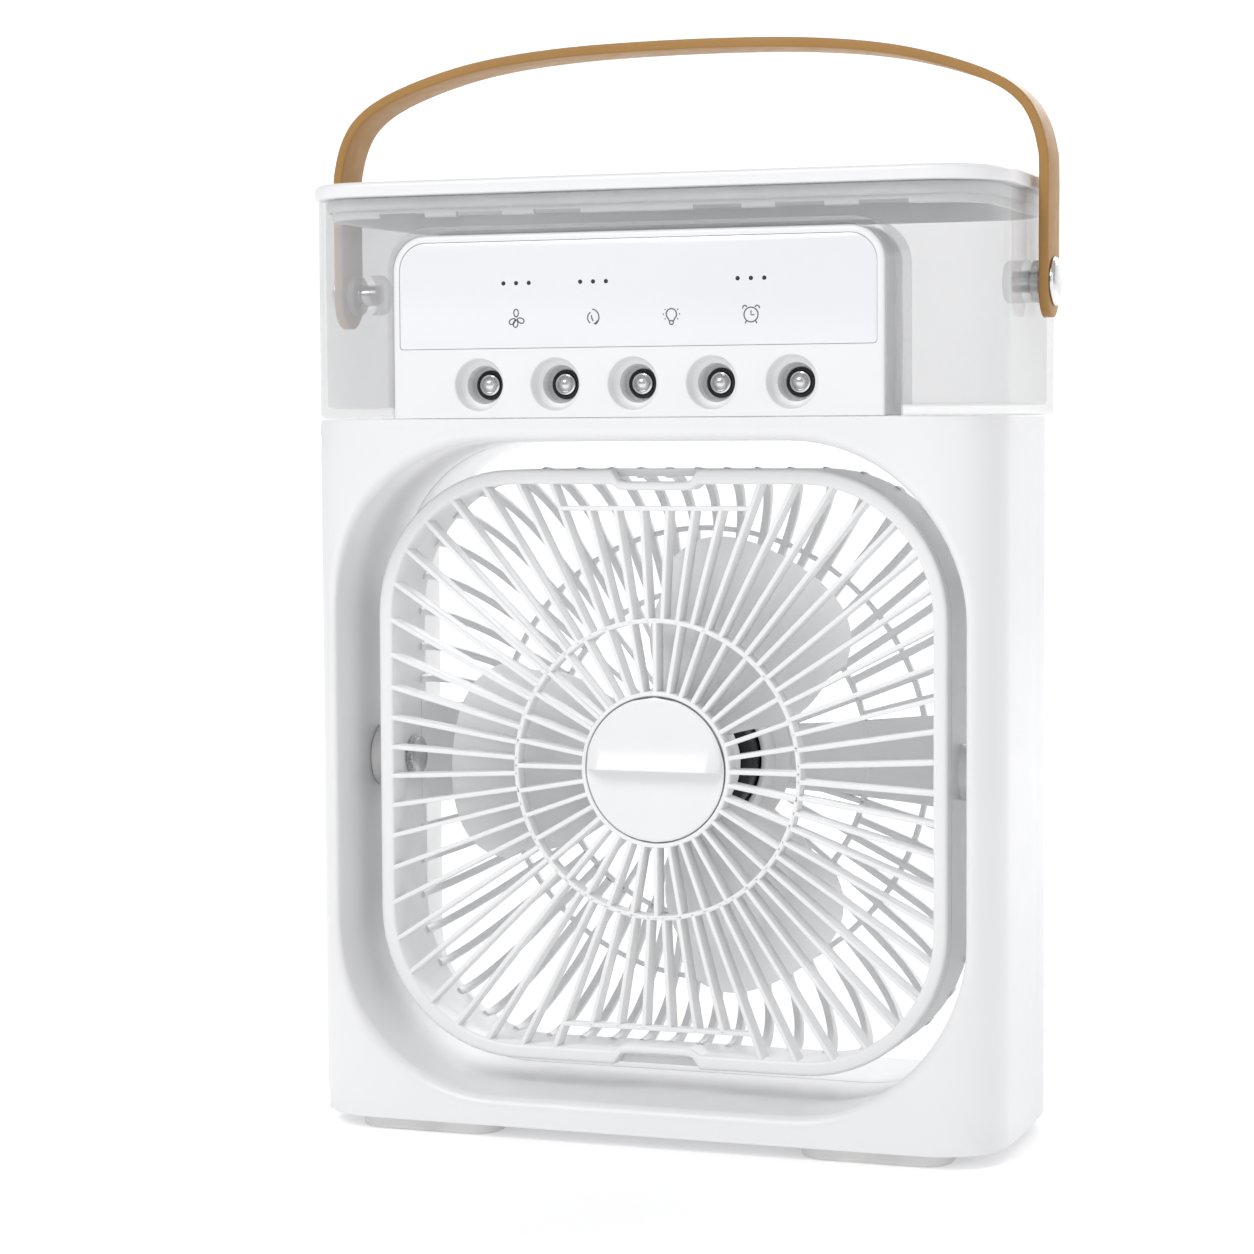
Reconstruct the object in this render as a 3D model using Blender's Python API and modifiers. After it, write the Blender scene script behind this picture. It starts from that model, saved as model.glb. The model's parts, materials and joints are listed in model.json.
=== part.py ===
"""Desktop evaporative cooling fan: box frame, tilting fan head, clear water tank, lid and strap handle.

Metres, +Z up, front towards -Y. The origin is on the floor under the middle of the body.
"""

import math

import bmesh
import bpy
from mathutils import Matrix, Vector

# Body, outside sizes
BODY_WIDTH = 0.204
BODY_DEPTH = 0.092
BODY_TOP = 0.2047
OVERALL_TOP = 0.272
FOOT_HEIGHT = 0.004
FRONT_CORNER = 0.020
REAR_CORNER = 0.030
SPLIT_Y = 0.007
REAR_INSET = 0.0005
WALL = 0.0022
FLOOR_WALL = 0.003
EDGE = 0.0012

# Fan opening through the body
SIDE_BAR = 0.009
TOP_BAR = 0.0064
BOTTOM_BAR = 0.0083
OPENING_FRONT_CORNER = 0.050
OPENING_REAR_CORNER = 0.034
OPENING_LIP = 0.0025

# Fan head
HEAD_GAP = 0.008
HEAD_CORNER = 0.042
HEAD_FRONT_Y = -0.029
GRILLE_DEPTH = 0.0045
HEAD_SIDE_END_Y = -0.001
HEAD_BACK_Y = 0.021
HEAD_BACK_INSET = 0.024
HEAD_WALL = 0.002
PIVOT_Y = -0.009
RIM_WIDTH = 0.0042
GRILLE_SKIRT_WALL = 0.0016
GRILLE_SKIRT_LENGTH = 0.004
HUB_RADIUS = 0.0223
RING_RADIUS = 0.0430
RIB_WIDTH = 0.0014
RING_WIDTH = 0.0015
INNER_RIBS = 36
OUTER_RIBS = 60
CROSSBAR_SETBACK = 0.011
CROSSBAR_RIBS = 4
FINGER_NOTCH_HALF = 0.0128
FINGER_NOTCH_DEPTH = 0.0034
REAR_RIBS = 24
REAR_RIB_WIDTH = 0.0022
REAR_GAP_INSET = 0.001
REAR_HUB_RADIUS = 0.026
REAR_RING_RADIUS = 0.050
ARM_HALF_WIDTH = 0.0075

# Impeller and motor
BLADES = 3
BLADE_PHASE = math.radians(60)
BLADE_HALF_ANGLE = math.radians(38)
BLADE_THICKNESS = 0.0018
BLADE_FRONT_Y = -0.0195
BLADE_BACK_Y = -0.0045
BLADE_COLUMNS = 7
BLADE_ROWS = 4
BLADE_ROOT_OVERLAP = 0.0012
TIP_GAP = 0.014
SPINNER_RADIUS = 0.017
SPINNER_WALL = 0.0016
SPINNER_COLLAR = 0.0045
SPINNER_PROUD = 0.001
SPINNER_MOTOR_GAP = 0.002
SHAFT_PROUD = 0.004
SHAFT_SEAT = 0.007
NUT_RADIUS = 0.0042
NUT_HEIGHT = 0.0028
MOTOR_RADIUS = 0.0195
MOTOR_FRONT_Y = 0.000
SHAFT_RADIUS = 0.0015

# Control panel
PANEL_HALF_WIDTH = 0.072
PANEL_TOP = 0.2564
PANEL_DEPTH = 0.017
PANEL_CORNER = 0.010
PLATE_MARGIN = 0.0022
PLATE_BOTTOM = 0.2244
PLATE_THICKNESS = 0.0008
NOZZLES = 5
NOZZLE_PITCH = 0.0229
NOZZLE_Z = 0.2143
NOZZLE_MOUTH_RADIUS = 0.0078
NOZZLE_SEAT_RADIUS = 0.0048
NOZZLE_DEPTH = 0.0095
CUP_WALL = 0.0013

# Water tank and lid
TANK_WALL = 0.002
TANK_FLOOR = 0.003
NOTCH_GAP = 0.0004
LID_BOTTOM = 0.2678
LID_OVERHANG = 0.001
LID_SOFT = 0.0014
GASKET_DROP = 0.0036
SKIRT_DEPTH = 0.006
SKIRT_WALL = 0.0016
SKIRT_GAP = 0.0018
SKIRT_SLOT_LENGTH = 0.014
SKIRT_SLOT_HEIGHT = 0.0014
SKIRT_SLOT_PITCH = 0.0235

# Handle
HANDLE_Z = 0.242
HANDLE_WIDTH = 0.015
HANDLE_THICKNESS = 0.0028
HANDLE_RISE = 0.0407
HANDLE_SIDE_GAP = 0.0032
HANDLE_END = 0.010
RIVET_RADIUS = 0.00675
RIVET_SHANK = 0.0029
RIVET_CAP_HEIGHT = 0.002

# Shell screws, their bosses and the power inlet
SCREW_SIDE_INSET = 0.0140
SCREW_EDGE_INSET = 0.0062
SCREW_SINK = 0.005
SCREW_HEAD_RADIUS = 0.0029
SCREW_HEAD_HEIGHT = 0.002
SCREW_SHANK_RADIUS = 0.0012
SCREW_SHANK_LENGTH = 0.018
SCREW_CROSS_HALF_LENGTH = 0.0016
SCREW_CROSS_HALF_WIDTH = 0.0003
SCREW_CROSS_FLOOR = 0.0015
DRILL_LENGTH = 0.02
BOSS_RADIUS = 0.0036
BOSS_START = 0.003
BOSS_DRILL_DEPTH = 0.014
POST_RADIUS = 0.0046
POST_SETBACK = 0.009
INLET_SIDE_INSET = 0.0235
INLET_RISE = 0.0062
INLET_HALF_WIDTH = 0.0049
INLET_HALF_HEIGHT = 0.0022
INLET_POCKET_DEPTH = 0.007
INLET_SINK = 0.0048
INLET_SHELL_WALL = 0.0004
INLET_TONGUE_INSET = 0.0016

# Feet
FOOT_LENGTH = 0.043
FOOT_SIDE_INSET = 0.014
FOOT_EDGE_INSET = 0.004
FOOT_DEPTH = 0.018
FOOT_CORNER = 0.008
FOOT_SEAT = 0.0012
FOOT_SOFT = 0.0008

# Head pivots
BUSH_FLANGE = 0.009
BUSH_FLANGE_DEPTH = 0.0034
BUSH_SLEEVE = 0.0052
BUSH_BORE = 0.0038
BUSH_LENGTH = 0.0026
PIN_HEAD_RADIUS = 0.0058
PIN_HEAD_HEIGHT = 0.0022
HEAD_BOSS_RADIUS = 0.0078

# Hub cap
CAP_RADIUS = 0.0206
CAP_SEAT_DEPTH = 0.0022
CAP_STEM = 0.0022
CAP_FACE = 0.0006
FIN_HEIGHT = 0.0042

# Nozzle seals and wicks
SEAL_COLLAR = 0.0042
SEAL_BODY = 0.0035
SEAL_BORE = 0.0029
SEAL_PROUD = 0.0012
SEAL_PAST_WALL = 0.0015
WICK_RADIUS = 0.0026
WICK_REACH = 0.026
NOZZLE_RADIUS = 0.0031

# Boards and the panel's back cover
BOARD_THICKNESS = 0.0016
BOARD_STANDOFF = 0.0008
BOARD_MARGIN = 0.004
CHIPS = [(-0.040, 0.012, 0.0022), (-0.010, 0.016, 0.0030), (0.022, 0.008, 0.0055), (0.045, 0.010, 0.0026)]
LED_BOARD_HALF_WIDTH = 0.0561
LED_BOARD_THICKNESS = 0.0015
LED_BOARD_HALF_DEPTH = 0.004
LED_BOARD_Y = 0.004
COVER_THICKNESS = 0.0016
CABLE_HALF_WIDTH = 0.015
CABLE_FRONT = 0.008
CABLE_BACK = 0.003

# Motor mounting
MOTOR_SCREW_CIRCLE = 0.0125
MOTOR_BORE_DEPTH = 0.012
MOTOR_CUP_WALL = 0.0017
MOTOR_CUP_LENGTH = 0.013
MOTOR_SCREW_HOLE = 0.0016
MOTOR_SCREW_HEAD = 0.0026
MOTOR_SCREW_SHANK = 0.0012
MOTOR_SCREW_LENGTH = 0.0065

# Rivet pads
RIVET_PAD = 0.009
RIVET_BLIND = 0.0055
WASHER_RADIUS = 0.006

# Fits
GAP = 0.0003
RUN_GAP = 0.0003
PRESS_GAP = 0.0001
BEYOND = 0.01
SHARP_ANGLE = math.radians(32)

MIDDLE = 0.0
HALF_WIDTH = BODY_WIDTH / 2
HALF_DEPTH = BODY_DEPTH / 2
OPENING_HALF_WIDTH = HALF_WIDTH - SIDE_BAR
OPENING_TOP = BODY_TOP - TOP_BAR
OPENING_BOTTOM = FOOT_HEIGHT + BOTTOM_BAR
OPENING_HALF_HEIGHT = (OPENING_TOP - OPENING_BOTTOM) / 2
CENTRE_Z = (OPENING_TOP + OPENING_BOTTOM) / 2
HEAD_HALF_WIDTH = OPENING_HALF_WIDTH - HEAD_GAP
HEAD_HALF_HEIGHT = OPENING_HALF_HEIGHT - HEAD_GAP
HEAD_INNER = min(HEAD_HALF_WIDTH, HEAD_HALF_HEIGHT) - HEAD_WALL
TIP_RADIUS = HEAD_INNER - TIP_GAP
PANEL_BACK_Y = -HALF_DEPTH + PANEL_DEPTH
TANK_BOTTOM = BODY_TOP + GAP
PANEL_BOTTOM = BODY_TOP + GAP
TANK_TOP = LID_BOTTOM - GAP
NOZZLE_X = [(index - (NOZZLES - 1) / 2) * NOZZLE_PITCH for index in range(NOZZLES)]
SEAT_Y = -HALF_DEPTH + NOZZLE_DEPTH
ARM_INNER_X = HALF_WIDTH + HANDLE_SIDE_GAP
ARM_OUTER_X = ARM_INNER_X + HANDLE_THICKNESS
SCREW_X = HALF_WIDTH - SCREW_SIDE_INSET
SCREW_Z = (OPENING_BOTTOM + SCREW_EDGE_INSET, OPENING_TOP - SCREW_EDGE_INSET)
SCREW_SEAT_Y = SPLIT_Y + SCREW_SINK
POST_LENGTH = HALF_DEPTH - SPLIT_Y - POST_SETBACK
INLET_X = HALF_WIDTH - INLET_SIDE_INSET
INLET_Z = FOOT_HEIGHT + INLET_RISE
INLET_FACE_Y = HALF_DEPTH - INLET_SINK
FOOT_OUTER_X = HALF_WIDTH - FOOT_SIDE_INSET
FOOT_INNER_X = FOOT_OUTER_X - FOOT_LENGTH
FOOT_FRONT = HALF_DEPTH - FOOT_EDGE_INSET
PIN_RADIUS = BUSH_BORE - RUN_GAP
SEAL_FRONT_Y = SEAT_Y - SEAL_PROUD
X_AXIS = Vector((1, 0, 0))
Y_AXIS = Vector((0, 1, 0))
Z_AXIS = Vector((0, 0, 1))


# ---------------------------------------------------------------- scene and helpers


def clear_scene():
    for obj in list(bpy.data.objects):
        bpy.data.objects.remove(obj, do_unlink=True)
    for block in list(bpy.data.collections):
        bpy.data.collections.remove(block)


def new_collection(name, helper):
    group = bpy.data.collections.new(name)
    bpy.context.scene.collection.children.link(group)
    group.hide_render = helper
    return group


def material(name, colour, roughness, metallic=0.0, alpha=1.0, transmission=0.0):
    found = bpy.data.materials.get(name)
    if found:
        return found
    made = bpy.data.materials.new(name)
    made.use_nodes = True
    shader = made.node_tree.nodes["Principled BSDF"]
    shader.inputs["Base Color"].default_value = (*colour, 1.0)
    shader.inputs["Roughness"].default_value = roughness
    shader.inputs["Metallic"].default_value = metallic
    shader.inputs["Alpha"].default_value = alpha
    shader.inputs["Transmission Weight"].default_value = transmission
    made.diffuse_color = (*colour, alpha)
    return made


def white_plastic(name):
    return material(name, (0.86, 0.86, 0.85), 0.42)


def dark_plastic(name):
    return material(name, (0.045, 0.045, 0.05), 0.5)


def bright_steel(name):
    return material(name, (0.72, 0.72, 0.72), 0.28, metallic=1.0)


def add_object(name, mesh, paint=None):
    """A piece when it has a material, and a hidden cutter when it has none."""
    obj = bpy.data.objects.new(name, mesh)
    if paint is None:
        CUTTERS.objects.link(obj)
        obj.hide_render = True
        obj.display_type = "WIRE"
    else:
        PIECES.objects.link(obj)
        mesh.materials.append(paint)
    return obj


def mesh_from(bm, name):
    bmesh.ops.recalc_face_normals(bm, faces=bm.faces)
    mesh = bpy.data.meshes.new(name)
    bm.to_mesh(mesh)
    bm.free()
    return mesh


def loft(name, rings, paint=None, closed=False):
    """A closed body through rings of equal length: capped at both ends, or joined end to end."""
    bm = bmesh.new()
    rows = [[bm.verts.new(point) for point in ring] for ring in rings]
    size = len(rows[0])
    pairs = list(zip(rows, rows[1:]))
    if closed:
        pairs.append((rows[-1], rows[0]))
    for low, high in pairs:
        for index in range(size):
            after = (index + 1) % size
            bm.faces.new((low[index], low[after], high[after], high[index]))
    if not closed:
        bm.faces.new(list(reversed(rows[0])))
        bm.faces.new(rows[-1])
    return add_object(name, mesh_from(bm, name), paint)


def rounded_outline(half_a, half_b, radius, steps=6, centre=(0.0, 0.0)):
    """Points round a rounded rectangle, anticlockwise, with the same count for every size."""
    return varied_outline(half_a, half_b, [radius] * 4, steps, centre)


def varied_outline(half_a, half_b, radii, steps=6, centre=(0.0, 0.0)):
    """As rounded_outline, with one radius per corner: ++, -+, --, +-."""
    signs = [(1, 1), (-1, 1), (-1, -1), (1, -1)]
    points = []
    for turn, ((sign_a, sign_b), radius) in enumerate(zip(signs, radii)):
        corner_a = centre[0] + sign_a * (half_a - radius)
        corner_b = centre[1] + sign_b * (half_b - radius)
        for step in range(steps + 1):
            angle = math.pi / 2 * (turn + step / steps)
            points.append((corner_a + radius * math.cos(angle), corner_b + radius * math.sin(angle)))
    return points


def level(outline, z):
    return [(x, y, z) for x, y in outline]


def upright(outline, y):
    """An outline in X and Z, at depth y."""
    return [(x, y, z) for x, z in outline]


def box(name, low, high, paint=None):
    bm = bmesh.new()
    bmesh.ops.create_cube(bm, size=1.0)
    size = [top - bottom for bottom, top in zip(low, high)]
    middle = [(top + bottom) / 2 for bottom, top in zip(low, high)]
    bmesh.ops.scale(bm, vec=size, verts=bm.verts)
    bmesh.ops.translate(bm, vec=middle, verts=bm.verts)
    return add_object(name, mesh_from(bm, name), paint)


def along(axis):
    """Turns +Z to point along axis."""
    return Z_AXIS.rotation_difference(axis).to_matrix().to_4x4()


def rod(name, axis, start, length, radius, paint=None, sides=16):
    bm = bmesh.new()
    place = Matrix.Translation(Vector(start)) @ along(axis) @ Matrix.Translation((0, 0, length / 2))
    bmesh.ops.create_cone(
        bm,
        cap_ends=True,
        segments=sides,
        radius1=radius,
        radius2=radius,
        depth=length,
        matrix=place,
    )
    return add_object(name, mesh_from(bm, name), paint)


def turned(name, axis, start, profile, paint=None, sides=16, closed=False):
    """A turned body: profile lists (radius, height) down its outer side, heights along axis from start."""
    bm = bmesh.new()
    points = [bm.verts.new((radius, 0, height)) for radius, height in profile]
    for upper, lower in zip(points, points[1:]):
        bm.edges.new((upper, lower))
    if closed:
        bm.edges.new((points[-1], points[0]))
    mesh = bpy.data.meshes.new(name)
    bm.to_mesh(mesh)
    bm.free()
    obj = add_object(name, mesh, paint)
    obj.matrix_world = Matrix.Translation(Vector(start)) @ along(axis)
    screw = obj.modifiers.new("turn", "SCREW")
    screw.steps = sides
    screw.render_steps = sides
    screw.use_merge_vertices = True
    screw.merge_threshold = 0.00001
    screw.use_smooth_shade = False
    return obj


def boolean(target, other, operation):
    step = target.modifiers.new(operation.lower(), "BOOLEAN")
    step.operation = operation
    step.solver = "EXACT"
    step.object = other
    return target


def cut(target, *others):
    for other in others:
        boolean(target, other, "DIFFERENCE")
    return target


def join(target, *others):
    for other in others:
        boolean(target, other, "UNION")
    return target


def merged(name, bodies):
    """One cutter from several separate cutters that don't touch."""
    bm = bmesh.new()
    for body in bodies:
        body.data.transform(body.matrix_world)
        bm.from_mesh(body.data)
        bpy.data.objects.remove(body, do_unlink=True)
    return add_object(name, mesh_from(bm, name))


def ride(origin_name, place, pieces, parent=None):
    """Parents pieces to an empty on their joint's axis."""
    empty = bpy.data.objects.new(origin_name, None)
    PIECES.objects.link(empty)
    empty.matrix_world = Matrix.Translation(Vector(place))
    bpy.context.view_layer.update()
    if parent:
        empty.parent = parent
        empty.matrix_parent_inverse = parent.matrix_world.inverted()
    for piece in pieces:
        piece.parent = empty
        piece.matrix_parent_inverse = Matrix.Translation(-Vector(place))
    return empty


def smooth_by_angle():
    """Node tree that shades a piece smooth and keeps its edges sharper than SHARP_ANGLE crisp."""
    tree = bpy.data.node_groups.new("smooth_by_angle", "GeometryNodeTree")
    tree.interface.new_socket("Geometry", in_out="INPUT", socket_type="NodeSocketGeometry")
    tree.interface.new_socket("Geometry", in_out="OUTPUT", socket_type="NodeSocketGeometry")
    start = tree.nodes.new("NodeGroupInput")
    end = tree.nodes.new("NodeGroupOutput")
    angle = tree.nodes.new("GeometryNodeInputMeshEdgeAngle")
    sharper = tree.nodes.new("FunctionNodeCompare")
    sharper.data_type = "FLOAT"
    sharper.operation = "GREATER_THAN"
    sharper.inputs["B"].default_value = SHARP_ANGLE
    faces = tree.nodes.new("GeometryNodeSetShadeSmooth")
    faces.domain = "FACE"
    edges = tree.nodes.new("GeometryNodeSetShadeSmooth")
    edges.domain = "EDGE"
    edges.inputs["Shade Smooth"].default_value = False
    tree.links.new(start.outputs["Geometry"], faces.inputs["Geometry"])
    tree.links.new(faces.outputs["Geometry"], edges.inputs["Geometry"])
    tree.links.new(angle.outputs["Unsigned Angle"], sharper.inputs["A"])
    tree.links.new(sharper.outputs["Result"], edges.inputs["Selection"])
    tree.links.new(edges.outputs["Geometry"], end.inputs["Geometry"])
    return tree


def shade_pieces():
    """Shades every piece smooth as its last step."""
    tree = smooth_by_angle()
    for obj in PIECES.objects:
        if obj.type == "MESH":
            obj.modifiers.new("smooth_by_angle", "NODES").node_group = tree


# ---------------------------------------------------------------- outlines shared by the pieces


def opening_rings(grow, front_y, back_y):
    """The fan opening's sections, from a soft front lip to tighter corners at the back, grown by grow."""
    start = -HALF_DEPTH
    span = BODY_DEPTH
    rings = []
    for y, lip in ((front_y, OPENING_LIP), (start, OPENING_LIP), (start + 0.0008, 0.0012),
                   (start + OPENING_LIP, 0.0), (start + span / 2, 0.0), (back_y, 0.0)):
        share = min(max((y - start) / span, 0.0), 1.0)
        corner = OPENING_FRONT_CORNER + (OPENING_REAR_CORNER - OPENING_FRONT_CORNER) * share
        extra = lip + grow
        ring = rounded_outline(
            OPENING_HALF_WIDTH + extra, OPENING_HALF_HEIGHT + extra, corner + extra, 7, (MIDDLE, CENTRE_Z)
        )
        rings.append(upright(ring, y))
    return rings


def body_outline(inset, side_inset=0.0):
    """The body seen from above, tighter round its front corners than its rear ones."""
    rear = REAR_CORNER - inset
    front = FRONT_CORNER - inset
    half = HALF_WIDTH - inset - side_inset
    return varied_outline(half, HALF_DEPTH - inset, [rear, rear, front, front], 6)


def tank_outline(inset):
    corner = FRONT_CORNER - inset
    return rounded_outline(HALF_WIDTH - inset, HALF_DEPTH - inset, corner, 6)


def head_outline(grow, steps=6):
    return rounded_outline(
        HEAD_HALF_WIDTH + grow, HEAD_HALF_HEIGHT + grow, HEAD_CORNER + grow, steps, (MIDDLE, CENTRE_Z)
    )


# ---------------------------------------------------------------- frame


def body_block(name, inset, side_inset, bottom, top, paint=None):
    soft = EDGE if paint else 0.0
    rings = [
        level(body_outline(inset + soft, side_inset), bottom),
        level(body_outline(inset, side_inset), bottom + soft),
        level(body_outline(inset, side_inset), top),
    ]
    return loft(name, rings if soft else rings[1:], paint)


def body_cavity(name):
    """The hollow inside both shells: the block inset by the wall, without the fan opening's own wall."""
    hollow = body_block(name, WALL, REAR_INSET, FOOT_HEIGHT + FLOOR_WALL, BODY_TOP - WALL)
    sleeve = loft(name + "_sleeve", opening_rings(WALL, -HALF_DEPTH - 0.01, HALF_DEPTH + 0.01))
    return cut(hollow, sleeve)


def screw_places():
    return [(side * SCREW_X, z) for z in SCREW_Z for side in (-1, 1)]


def pivot_hole(name, side, radius):
    start = side * (OPENING_HALF_WIDTH - 0.004)
    return rod(name, X_AXIS * side, (start, PIVOT_Y, CENTRE_Z), 0.0075, radius)


def build_front_frame(opening):
    frame = body_block("front_frame", 0.0, 0.0, FOOT_HEIGHT, BODY_TOP, white_plastic("front_frame"))
    behind = box("front_frame_split", (-0.3, SPLIT_Y, -0.1), (0.3, 0.3, 0.5))
    bosses = []
    drills = []
    for index, (x, z) in enumerate(screw_places()):
        start_y = -HALF_DEPTH + BOSS_START
        drill_y = SPLIT_Y - BOSS_DRILL_DEPTH
        bosses.append(rod(f"boss_{index}", Y_AXIS, (x, start_y, z), SPLIT_Y - start_y, BOSS_RADIUS))
        drills.append(
            rod(
                f"boss_drill_{index}", Y_AXIS, (x, drill_y, z), DRILL_LENGTH, SCREW_SHANK_RADIUS + GAP, sides=12
            )
        )
    cut(frame, body_cavity("front_frame_cavity"))
    join(frame, merged("front_frame_bosses", bosses))
    cut(frame, opening, behind, merged("front_frame_drills", drills))
    pivots = [pivot_hole(f"pivot_hole_{side}", side, BUSH_SLEEVE + GAP) for side in (-1, 1)]
    cut(frame, merged("front_frame_pivots", pivots))
    cable = box(
        "cable_way",
        (-CABLE_HALF_WIDTH, PANEL_BACK_Y - CABLE_FRONT, BODY_TOP - BEYOND),
        (CABLE_HALF_WIDTH, PANEL_BACK_Y - CABLE_BACK, BODY_TOP + BEYOND),
    )
    cut(frame, cable, foot_pockets("front_foot_pockets", -1))
    return frame


def build_rear_frame(opening):
    frame = body_block("rear_frame", 0.0, REAR_INSET, FOOT_HEIGHT, BODY_TOP, white_plastic("rear_frame"))
    ahead = box("rear_frame_split", (-0.3, -0.3, -0.1), (0.3, SPLIT_Y + GAP, 0.5))
    posts = []
    sinks = []
    drills = []
    for index, (x, z) in enumerate(screw_places()):
        posts.append(rod(f"post_{index}", Y_AXIS, (x, SPLIT_Y - 0.001, z), POST_LENGTH, POST_RADIUS))
        sinks.append(
            rod(f"sink_{index}", Y_AXIS, (x, SCREW_SEAT_Y, z), BODY_DEPTH, SCREW_HEAD_RADIUS + 2 * GAP)
        )
        drills.append(
            rod(
                f"post_drill_{index}",
                Y_AXIS,
                (x, SPLIT_Y - 0.002, z),
                DRILL_LENGTH,
                SCREW_SHANK_RADIUS + GAP,
                sides=12,
            )
        )
    cut(frame, body_cavity("rear_frame_cavity"))
    join(frame, merged("rear_frame_posts", posts))
    housing = box(
        "inlet_housing", inlet_corner(-1, WALL, -INLET_POCKET_DEPTH - WALL), inlet_corner(1, WALL, 0.0)
    )
    pocket = box("inlet_pocket", inlet_corner(-1, GAP, -INLET_POCKET_DEPTH), inlet_corner(1, GAP, 0.02))
    join(frame, housing)
    cut(frame, opening, ahead, merged("rear_frame_sinks", sinks), merged("rear_frame_drills", drills), pocket)
    return cut(frame, foot_pockets("rear_foot_pockets", 1))


def inlet_corner(sign, grow, depth):
    x = INLET_X + sign * (INLET_HALF_WIDTH + grow)
    z = INLET_Z + sign * (INLET_HALF_HEIGHT + grow)
    return (x, INLET_FACE_Y + depth, z)


def build_power_inlet():
    deep = -INLET_POCKET_DEPTH
    wall = INLET_SHELL_WALL
    inset = INLET_TONGUE_INSET
    shell = box(
        "power_inlet", inlet_corner(-1, 0.0, deep + GAP), inlet_corner(1, 0.0, 0.0), bright_steel(
            "power_inlet"
        )
    )
    mouth = box("power_inlet_mouth", inlet_corner(-1, -wall, deep + 0.0016), inlet_corner(1, -wall, BEYOND))
    tongue = box(
        "power_inlet_tongue", inlet_corner(-1, -inset, deep + 0.001), inlet_corner(1, -inset, -0.001)
    )
    cut(shell, mouth)
    return join(shell, tongue)


def build_shell_screws():
    made = []
    for index, (x, z) in enumerate(screw_places()):
        head = SCREW_HEAD_RADIUS
        shank = SCREW_SHANK_RADIUS
        top = SCREW_HEAD_HEIGHT
        profile = [(0, top), (head * 0.8, top), (head, top * 0.6), (head, 0), (shank, 0),
                   (shank, -SCREW_SHANK_LENGTH + shank), (0, -SCREW_SHANK_LENGTH)]
        screw = turned(f"shell_screw_{index + 1}", Y_AXIS, (x, SCREW_SEAT_Y + GAP, z), profile,
                       bright_steel("shell_screw"), sides=12)
        low_y = SCREW_SEAT_Y + SCREW_CROSS_FLOOR
        high_y = SCREW_SEAT_Y + BEYOND
        half = SCREW_CROSS_HALF_LENGTH
        thin = SCREW_CROSS_HALF_WIDTH
        slot = box(f"screw_slot_{index}", (x - half, low_y, z - thin), (x + half, high_y, z + thin))
        cross = box(f"screw_cross_{index}", (x - thin, low_y, z - half), (x + thin, high_y, z + half))
        cut(screw, slot, cross)
        made.append(screw)
    return made


def foot_outline(side, end, grow):
    half_x = (FOOT_OUTER_X - FOOT_INNER_X) / 2
    half_y = FOOT_DEPTH / 2
    centre = (side * (FOOT_OUTER_X - half_x), end * (FOOT_FRONT - half_y))
    return rounded_outline(half_x + grow, half_y + grow, FOOT_CORNER + grow, 3, centre)


def foot_pockets(name, end):
    pockets = []
    for side in (-1, 1):
        outline = foot_outline(side, end, GAP)
        rings = [level(outline, FOOT_HEIGHT - BEYOND), level(outline, FOOT_HEIGHT + FOOT_SEAT + GAP)]
        pockets.append(loft(f"{name}_{side}", rings))
    return merged(name, pockets)


def build_feet():
    made = []
    for end, row in ((-1, "front"), (1, "rear")):
        for side, hand in ((-1, "left"), (1, "right")):
            outline = foot_outline(side, end, 0.0)
            rings = [
                level(foot_outline(side, end, -FOOT_SOFT), 0.0),
                level(outline, FOOT_SOFT),
                level(outline, FOOT_HEIGHT + FOOT_SEAT),
            ]
            made.append(loft(f"foot_{row}_{hand}", rings, material("foot", (0.62, 0.62, 0.6), 0.7)))
    return made


# ---------------------------------------------------------------- head pivots


def build_pivots():
    bushes = []
    pins = []
    for side, hand in ((-1, "left"), (1, "right")):
        wall_x = OPENING_HALF_WIDTH - GAP
        rim = BUSH_FLANGE_DEPTH
        profile = [(BUSH_BORE, rim), (BUSH_FLANGE - 0.0006, rim), (BUSH_FLANGE, rim - 0.0006),
                   (BUSH_FLANGE, 0), (BUSH_SLEEVE, 0), (BUSH_SLEEVE, -BUSH_LENGTH), (BUSH_BORE, -BUSH_LENGTH)]
        start = (side * wall_x, PIVOT_Y, CENTRE_Z)
        paint = white_plastic("pivot_bush")
        bushes.append(turned(f"pivot_bush_{hand}", -X_AXIS * side, start, profile, paint, closed=True))
        inside = HEAD_HALF_WIDTH - HEAD_WALL - GAP
        end = OPENING_HALF_WIDTH + BUSH_LENGTH - inside
        head = PIN_HEAD_RADIUS
        tall = PIN_HEAD_HEIGHT
        profile = [(0, end), (PIN_RADIUS - 0.0005, end), (PIN_RADIUS, end - 0.0005), (PIN_RADIUS, 0),
                   (head, 0), (head, 0.0006 - tall), (head - 0.0006, -tall), (0, -tall)]
        start = (side * inside, PIVOT_Y, CENTRE_Z)
        pins.append(turned(f"pivot_pin_{hand}", X_AXIS * side, start, profile, bright_steel("pivot_pin")))
    return bushes, pins


# ---------------------------------------------------------------- fan head


def reach(angle, half_a, half_b, corner):
    """Distance from the middle to a rounded rectangle's edge at this angle."""
    low = 0.0
    high = half_a + half_b
    for _ in range(40):
        middle = (low + high) / 2
        a = abs(middle * math.cos(angle))
        b = abs(middle * math.sin(angle))
        over_a = max(a - half_a + corner, 0.0)
        over_b = max(b - half_b + corner, 0.0)
        inside = math.hypot(over_a, over_b) <= corner if over_a and over_b else a <= half_a and b <= half_b
        low, high = (middle, high) if inside else (low, middle)
    return low


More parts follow.
